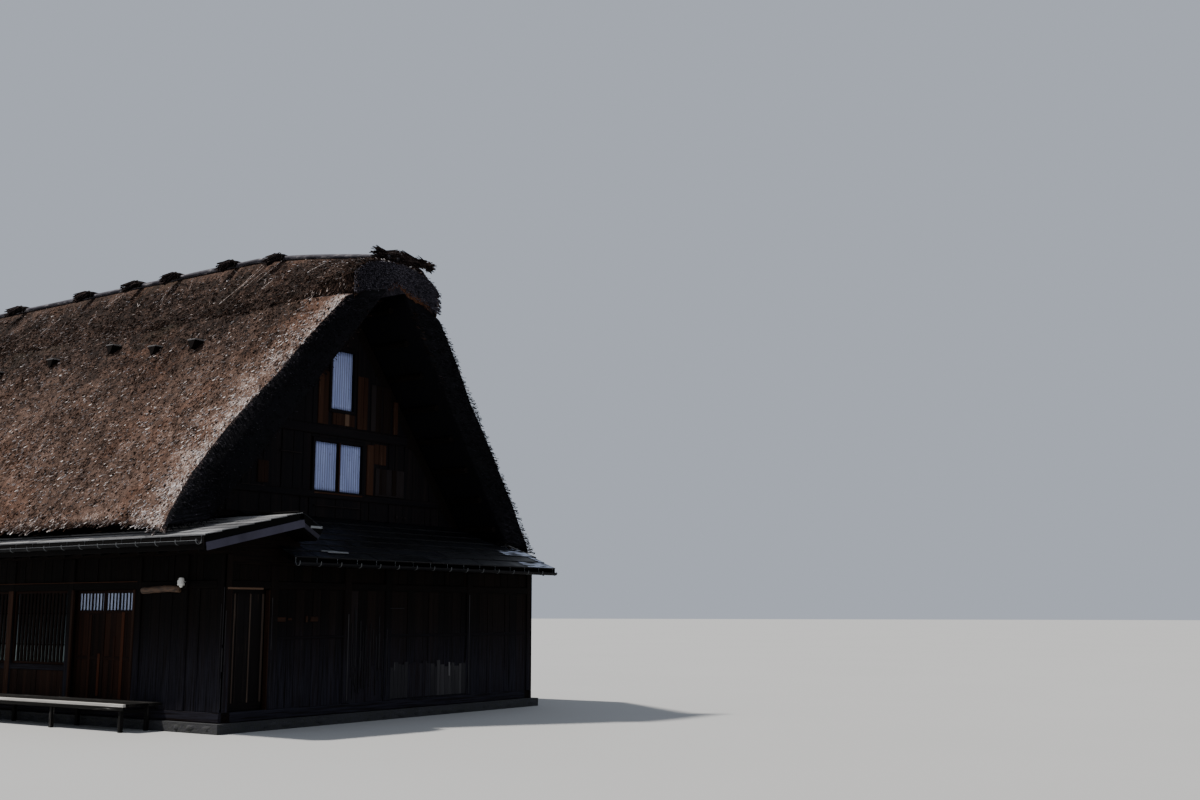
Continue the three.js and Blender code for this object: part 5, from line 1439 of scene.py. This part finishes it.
for end in (-1, 1):
    x = rng.uniform(HOOD_NIP - CAP_X, CAP_X - HOOD_NIP, HOOD_REEDS)
    floor = np.interp(np.abs(x), (0, foot_x, haunch_x, CAP_X), (CAP_APEX_Z, CAP_FOOT_Z, haunch_z, CAP_Z))
    roof = cap_top(x, CAP_VERGE_Y)
    z = floor + (roof - floor) * rng.uniform(0.03, 0.92, HOOD_REEDS)
    roots = np.stack([x, np.full(HOOD_REEDS, end * (CAP_VERGE_Y - 0.05)), z], -1)
    lean = np.stack([x * 0.5, np.full(HOOD_REEDS, 1.0 * end), -rng.uniform(0.2, 0.9, HOOD_REEDS)], -1)
    heads = roots + rng.uniform(0.055, 0.08, HOOD_REEDS)[:, None] * lean
    # The hood's cut face is darkened with painted shade.
    tone = scattered(0.72 - 0.15 * np.abs(x), 0.1, rng)
    sheaves.append(sheaf(roots, heads, CUT_GIRTH, x, z, tone, rng, soot=1))
    x = rng.normal(0.33, 0.24, FRINGE_REEDS)
    floor = np.interp(np.abs(x), (0, foot_x, haunch_x, CAP_X), (CAP_APEX_Z, CAP_FOOT_Z, haunch_z, CAP_Z))
    roots = np.stack([x, np.full(FRINGE_REEDS, end * (CAP_VERGE_Y - 0.04)),
                      floor + rng.uniform(0.0, 0.1, FRINGE_REEDS)], -1)
    lean = np.stack([x * 0.3, np.full(FRINGE_REEDS, 0.5 * end), -rng.uniform(0.6, 1.2, FRINGE_REEDS)], -1)
    heads = roots + rng.uniform(0.05, 0.1, FRINGE_REEDS)[:, None] * lean
    tone = scattered(0.62 - 0.5 * np.abs(x - 0.25), 0.16, rng)
    sheaves.append(sheaf(roots, heads, CUT_GIRTH, x, z[:FRINGE_REEDS], tone, rng, rusted=1))
reeds("ridge_cap_reeds", sheaves, "mossy_thatch", rng, REED_CEILING)

# Ridge poles and bundles
# Two long poles hold the cap down along its crest. Bundles of reed are bent across them and tied with rope,
# and their butts stick out and fray. A longer bundle lies at each end. Loose stalks lie on the grass below.

POLE_X, POLE_RADIUS, POLE_END, POLE_SUNK = 0.12, 0.045, 8.2, 0.032
BUNDLE_Y = (-5.44, -4.1, -2.38, -1.14, 0.5, 3.0, 4.35, 5.7)
BUNDLE_REACH, BUNDLE_DROOP, BUNDLE_RADIUS, BUNDLE_RISE, TOP_Z = 0.6, 0.19, 0.09, 0.03, 8.684
BUNDLE_BENDS, BUNDLE_GIRTHS = (-1.0, -0.55, -0.2, 0.2, 0.55, 1.0), (1.05, 0.95, 0.6, 0.4, 0.2, 0.1)
END_BUNDLE_Y, END_BUNDLE_LEFT, END_BUNDLE_RIGHT = 8.13, (-0.45, 8.12), (1.15, 8.17)
END_BENDS, END_GIRTHS = (0.0, 0.18, 0.42, 0.7, 0.88, 1.0), (1.5, 0.8, 0.55, 0.6, 0.5, 1.2)
END_TAILS = (((0.2, 0.5, 0.8, 0.98), (8.12, 8.07, 7.98, 7.8), (0.9, 1.0, 0.9, 1.2), 0.2),
             ((-0.3, 0.0, 0.3, 0.6), (8.08, 8.09, 8.08, 8.03), (0.9, 0.9, 0.9, 0.9), 0.15))
ridge_poles = []
for out in (-1, 1):
    y = np.linspace(-POLE_END, POLE_END, 34)
    z = cap_top(POLE_X, y) + POLE_SUNK
    x = out * POLE_X + 0.008 * ripple(y, 0 * y, 15 + out)
    ridge_poles.append(tube(np.stack([x, y, z], -1), POLE_RADIUS, 10, 31 + out, 0.03))
piece("ridge_poles_peeled", *gather(ridge_poles), bleached_pole, "pole_wood", replaces=("ridge_poles",),
      smooth=True)

STALKS, STALK_SIDES, STALK_RADIUS = 120, 3, 0.0075
TIE_X, TIE_RADIUS, ROPE_RADIUS = 0.24, 0.078, 0.009
dark_reed = thatch_finish("bundle_reed", (0.004, 0.0028, 0.003), (0.018, 0.012, 0.012), (0.09, 0.066, 0.06),
                          (0.035, 0.012, 0.008), (0.02, 0.018, 0.014))
rope = Finish("straw_rope", roughness=0.95)
rope_noise = rope.noise(rope.place(), 90.0, 4.0)
rope.tint(rope_noise.band(0.35, 0.65), (0.012, 0.01, 0.009), (0.05, 0.042, 0.034))
rope.bump(rope_noise, 0.004)
rng = np.random.default_rng(400)
stalks, ties, tones = [], [], []


def add_bundle(xs, zs, y, swells, count, ragged):
    """Stalks along a bent line of (x, z) places, spread by a share of the bundle's girth at each."""
    for _ in range(count):
        turn, away = rng.uniform(0, 2 * np.pi), BUNDLE_RADIUS * math.sqrt(rng.uniform(0.05, 1.0))
        share, spin = np.array(swells) * away, turn + rng.normal(0, 0.3, len(xs))
        x = np.array(xs, dtype=float)
        x[0] += rng.uniform(0, ragged)
        x[-1] -= rng.uniform(0, ragged)
        path = np.stack([x, y + share * np.cos(spin), np.array(zs) + share * np.sin(spin)], -1)
        path[:, 2] = np.minimum(path[:, 2], TOP_Z - STALK_RADIUS)
        stalks.append(tube(path, STALK_RADIUS, STALK_SIDES))
        tones.append(np.full(len(xs) * STALK_SIDES, rng.uniform(0.0, 0.75)))


for y in BUNDLE_Y:
    middle = crest(np.array(y)) + BUNDLE_RISE
    x = np.array(BUNDLE_BENDS) * BUNDLE_REACH
    droop = np.where(x < 0, BUNDLE_DROOP, -0.02)
    add_bundle(x, middle - droop * (x / BUNDLE_REACH) ** 2, y, BUNDLE_GIRTHS, STALKS, 0.13)
    for x in (-TIE_X, TIE_X):
        turn = np.linspace(0, 2 * np.pi, 15)
        ring = np.stack([x + 0.008 * np.sin(turn * 2), y + TIE_RADIUS * np.cos(turn),
                         middle - BUNDLE_RISE + TIE_RADIUS * np.sin(turn)], -1)
        ties.append(tube(ring, ROPE_RADIUS, 6))
for y in (-END_BUNDLE_Y, END_BUNDLE_Y):
    (left_x, left_z), (right_x, right_z) = END_BUNDLE_LEFT, END_BUNDLE_RIGHT
    share = np.array(END_BENDS)
    x = left_x + (right_x - left_x) * share
    arch = left_z + (right_z - left_z) * share + 0.05 * np.sin(np.pi * share)
    add_bundle(x, arch, y, END_GIRTHS, STALKS, 0.22)
    for cut in (slice(0, 3), slice(2, 5), slice(3, 6)):
        girths = (1.4, 0.5, 1.1) if cut.start else (1.6, 0.6, 1.2)
        add_bundle(x[cut], arch[cut] + 0.012, y, girths, STALKS // 2, 0.1)
    for xs, zs, girths, ragged in END_TAILS:
        add_bundle(xs, zs, y, girths, STALKS, ragged)
points, faces = gather(stalks)
piece("ridge_bundles", points, faces, dark_reed, "thatch", lay=points[:, [1, 0, 2]],
      tone=np.concatenate(tones), moss=np.zeros(len(points)))
piece("bundle_ties", *gather(ties), rope, "pole_wood", smooth=True)

LOOSE_STALKS, LOOSE_Y, LOOSE_OVER, LOOSE_RADIUS = 60, 7.2, 0.075, (0.003, 0.0055)
loose = []
for _ in range(LOOSE_STALKS):
    out, y = rng.choice((-1, 1)), rng.uniform(-LOOSE_Y, LOOSE_Y)
    start, length = rng.uniform(0.25, 0.9), 0.15 + min(rng.exponential(0.3), 0.6)
    drift = rng.uniform(-0.2, 0.35)
    x = start + np.linspace(0, 1, 5) * length * 0.6
    on_cap = cap_top(np.minimum(x, CAP_X), np.full(5, y))
    z = np.where(x < CAP_X, on_cap, EAVE_Z + (EAVE_X - x) * THATCH_RISE) + LOOSE_OVER
    path = np.stack([out * x, y + drift * np.linspace(0, 1, 5), z], -1)
    loose.append(tube(path, rng.uniform(*LOOSE_RADIUS), 4))
points, faces = gather(loose)
piece("loose_stalks", points, faces, grass, "thatch", lay=points[:, [1, 0, 2]],
      tone=np.full(len(points), 0.66), moss=np.zeros(len(points)))

# Bench
# A long low bench of weathered planks nailed to trestles along the entrance wall. Its front edge carries
# a pale painted highlight where the sun gets past the eaves, and the planks behind it are dark with painted
# shade.

BENCH_FRONT, BENCH_TOP, PLANK, BENCH_PAINTED_LIT_EDGE, BENCH_JOINT = -4.5, 0.42, 0.045, 0.05, (-5.2, -3.8)
PLANK_EDGES, BENCH_ENDS = (BENCH_FRONT, -4.27, -4.04, -3.803), (-7.2, -1.8)
TRESTLE_X, TRESTLE_Y = (-4.44, -3.98), (-7.08, -5.36, -3.64, -1.92)
BENCH_LEG, BENCH_RAIL = 0.06, (0.285, 0.33)
bench_wood = timber_finish("bench_wood_painted_sun_and_shade", (0.004, 0.0038, 0.0036), (0.02, 0.019, 0.018), (0.8, 0.77, 0.73),
                           0.45)
bench = Timbers(131)
# The planks keep to dark tones: painted shade from the eaves.
for outer, inner in zip(PLANK_EDGES, PLANK_EDGES[1:]):
    joint = bench.rng.uniform(*BENCH_JOINT)
    for start, stop in ((BENCH_ENDS[0], joint), (joint, BENCH_ENDS[1])):
        edge = BENCH_PAINTED_LIT_EDGE if outer == BENCH_FRONT else 0.002
        bench.add((outer + edge, start + 0.001, BENCH_TOP - PLANK),
                  (inner - 0.002, stop - 0.001, BENCH_TOP - bench.rng.uniform(0, 0.003)),
                  tone=bench.rng.uniform(0, 0.6))
# Painted highlight: a pale strip along the front edge, sunlit past the eave's shadow.
bench.add((BENCH_FRONT, BENCH_ENDS[0], BENCH_TOP - PLANK),
          (BENCH_FRONT + BENCH_PAINTED_LIT_EDGE - 0.001, BENCH_ENDS[1], BENCH_TOP), tone=1.6)
bench.add((BENCH_FRONT, BENCH_ENDS[0], BENCH_TOP - 0.1),
          (BENCH_FRONT + 0.022, BENCH_ENDS[1], BENCH_TOP - PLANK - 0.001), tone=0.2)
for y in TRESTLE_Y:
    half = BENCH_LEG / 2
    for x in TRESTLE_X:
        bench.add((x - half, y - half, 0), (x + half, y + half, BENCH_TOP - PLANK), tone=0.3)
    bench.add((TRESTLE_X[0], y - half + 0.008, BENCH_RAIL[0]),
              (TRESTLE_X[1], y + half - 0.008, BENCH_RAIL[1]), tone=0.3)
bench.make("bench_planks", bench_wood, "bench_wood", replaces=("bench",))

# Porch lamp
# A white enamelled shade and bulb on a short bent arm, screwed to a plate on the wall beside the entrance,
# with a small switch box.

LAMP_X, LAMP_Y, LAMP_Z = -3.91, -7.65, 2.2
ARM_REACH, ARM_TOP, ARM_DROP, ARM_RADIUS = 0.085, 0.095, 0.06, 0.008
enamel = Finish("lamp_enamel", roughness=0.3, coat_weight=0.3)
enamel_specks = enamel.noise(enamel.place(), 60.0, 5.0)
enamel.tint(enamel_specks.band(0.6, 0.75), (0.75, 0.74, 0.7), (0.35, 0.3, 0.25))


def lathe(profile, centre, sides=28):
    """A turned shape from (radius, height) points, closed where the radius is zero."""
    rings = []
    turn = np.linspace(0, 2 * np.pi, sides, endpoint=False)
    for radius, height in profile:
        radius = max(radius, 0.0004)
        rings.append(np.stack([centre[0] + radius * np.cos(turn), centre[1] + radius * np.sin(turn),
                               np.full(sides, centre[2] + height)], -1))
    return loft(rings)


SHADE_PROFILE = ((0.0, 0.1), (0.034, 0.098), (0.04, 0.09), (0.044, 0.03), (0.05, 0.012), (0.055, -0.012),
                 (0.053, -0.016), (0.042, 0.02), (0.03, 0.05), (0.0, 0.056))
BULB_PROFILE = ((0.0, 0.05), (0.013, 0.045), (0.015, 0.02), (0.028, -0.012), (0.029, -0.026), (0.02, -0.048),
                (0.0, -0.056))
centre = (LAMP_X, LAMP_Y, LAMP_Z)
parts = [lathe(profile, centre) for profile in (SHADE_PROFILE, BULB_PROFILE)]
arm_turn = np.linspace(0, math.pi / 2, 7)
arm = np.stack([LAMP_X + ARM_REACH * (1 - np.cos(arm_turn)), np.full(7, LAMP_Y),
                LAMP_Z + ARM_TOP - ARM_DROP * np.sin(arm_turn)], -1)
parts.append(tube(arm, ARM_RADIUS, 10))
piece("porch_lamp_shade", *gather(parts), enamel, "lamp_white", replaces=("porch_lamp",), smooth=True)
switch_box = Timbers(142)
switch_box.add((-3.87, LAMP_Y + 0.07, LAMP_Z - 0.02), (-3.81, LAMP_Y + 0.15, LAMP_Z + 0.07), chamfer=0.01)
switch_box.make("porch_switch_box", enamel, "lamp_white")
plate = Timbers(141)
plate.add((-3.83, LAMP_Y - 0.045, LAMP_Z - 0.07), (-3.8, LAMP_Y + 0.045, LAMP_Z + 0.07), tone=0.4)
plate.make("porch_lamp_plate", weathered, "dark_cedar")

# Floor, light and camera
# A pale matt floor under a pale sky, with a soft low light that reaches the long side and not the gable.

FLOOR_HALF = 400.0
floor_finish = Finish("studio_floor", roughness=0.95)
floor_noise = floor_finish.noise(floor_finish.place(), 0.15, 3.0)
floor_finish.tint(floor_noise, (0.36, 0.36, 0.355), (0.39, 0.39, 0.385))
floor_mesh = bpy.data.meshes.new("studio_floor")
floor_corners = [(x * FLOOR_HALF, y * FLOOR_HALF, 0.0) for x, y in ((-1, -1), (1, -1), (1, 1), (-1, 1))]
floor_mesh.from_pydata(floor_corners, [], [(0, 1, 2, 3)])
floor_mesh.materials.append(floor_finish.material)
studio_floor = bpy.data.objects.new("studio_floor", floor_mesh)
bpy.context.scene.collection.objects.link(studio_floor)

SKY_TINT, SKY_STRENGTH = (0.8, 0.87, 1.0, 1), 0.55
sky = bpy.data.worlds.new("pale_sky")
sky.use_nodes = True
sky.node_tree.nodes["Background"].inputs["Color"].default_value = SKY_TINT
sky.node_tree.nodes["Background"].inputs["Strength"].default_value = SKY_STRENGTH
bpy.context.scene.world = sky

SUN_FROM, SUN_STRENGTH, SUN_SOFTNESS = (-0.3, 0.45, 0.84), 6.0, 3.0
sun = bpy.data.lights.new("low_sun", "SUN")
sun.energy, sun.angle, sun.color = SUN_STRENGTH, math.radians(SUN_SOFTNESS), (1.0, 0.96, 0.9)
sun_object = bpy.data.objects.new("low_sun", sun)
sun_object.rotation_euler = (
    math.acos(SUN_FROM[2] / math.hypot(*SUN_FROM)), 0.0, math.atan2(SUN_FROM[1], SUN_FROM[0]) + math.pi / 2)
bpy.context.scene.collection.objects.link(sun_object)

CAMERA_PLACE, CAMERA_LENS = (-17.386, -24.598, 1.75), 40.32
CAMERA_TILT, CAMERA_TURN = 99.047, -55.653
camera = bpy.data.cameras.new("camera")
camera.lens, camera.clip_end = CAMERA_LENS, 2 * FLOOR_HALF
camera_object = bpy.data.objects.new("camera", camera)
camera_object.location = CAMERA_PLACE
camera_object.rotation_euler = (math.radians(CAMERA_TILT), 0.0, math.radians(CAMERA_TURN))
bpy.context.scene.collection.objects.link(camera_object)
bpy.context.scene.camera = camera_object
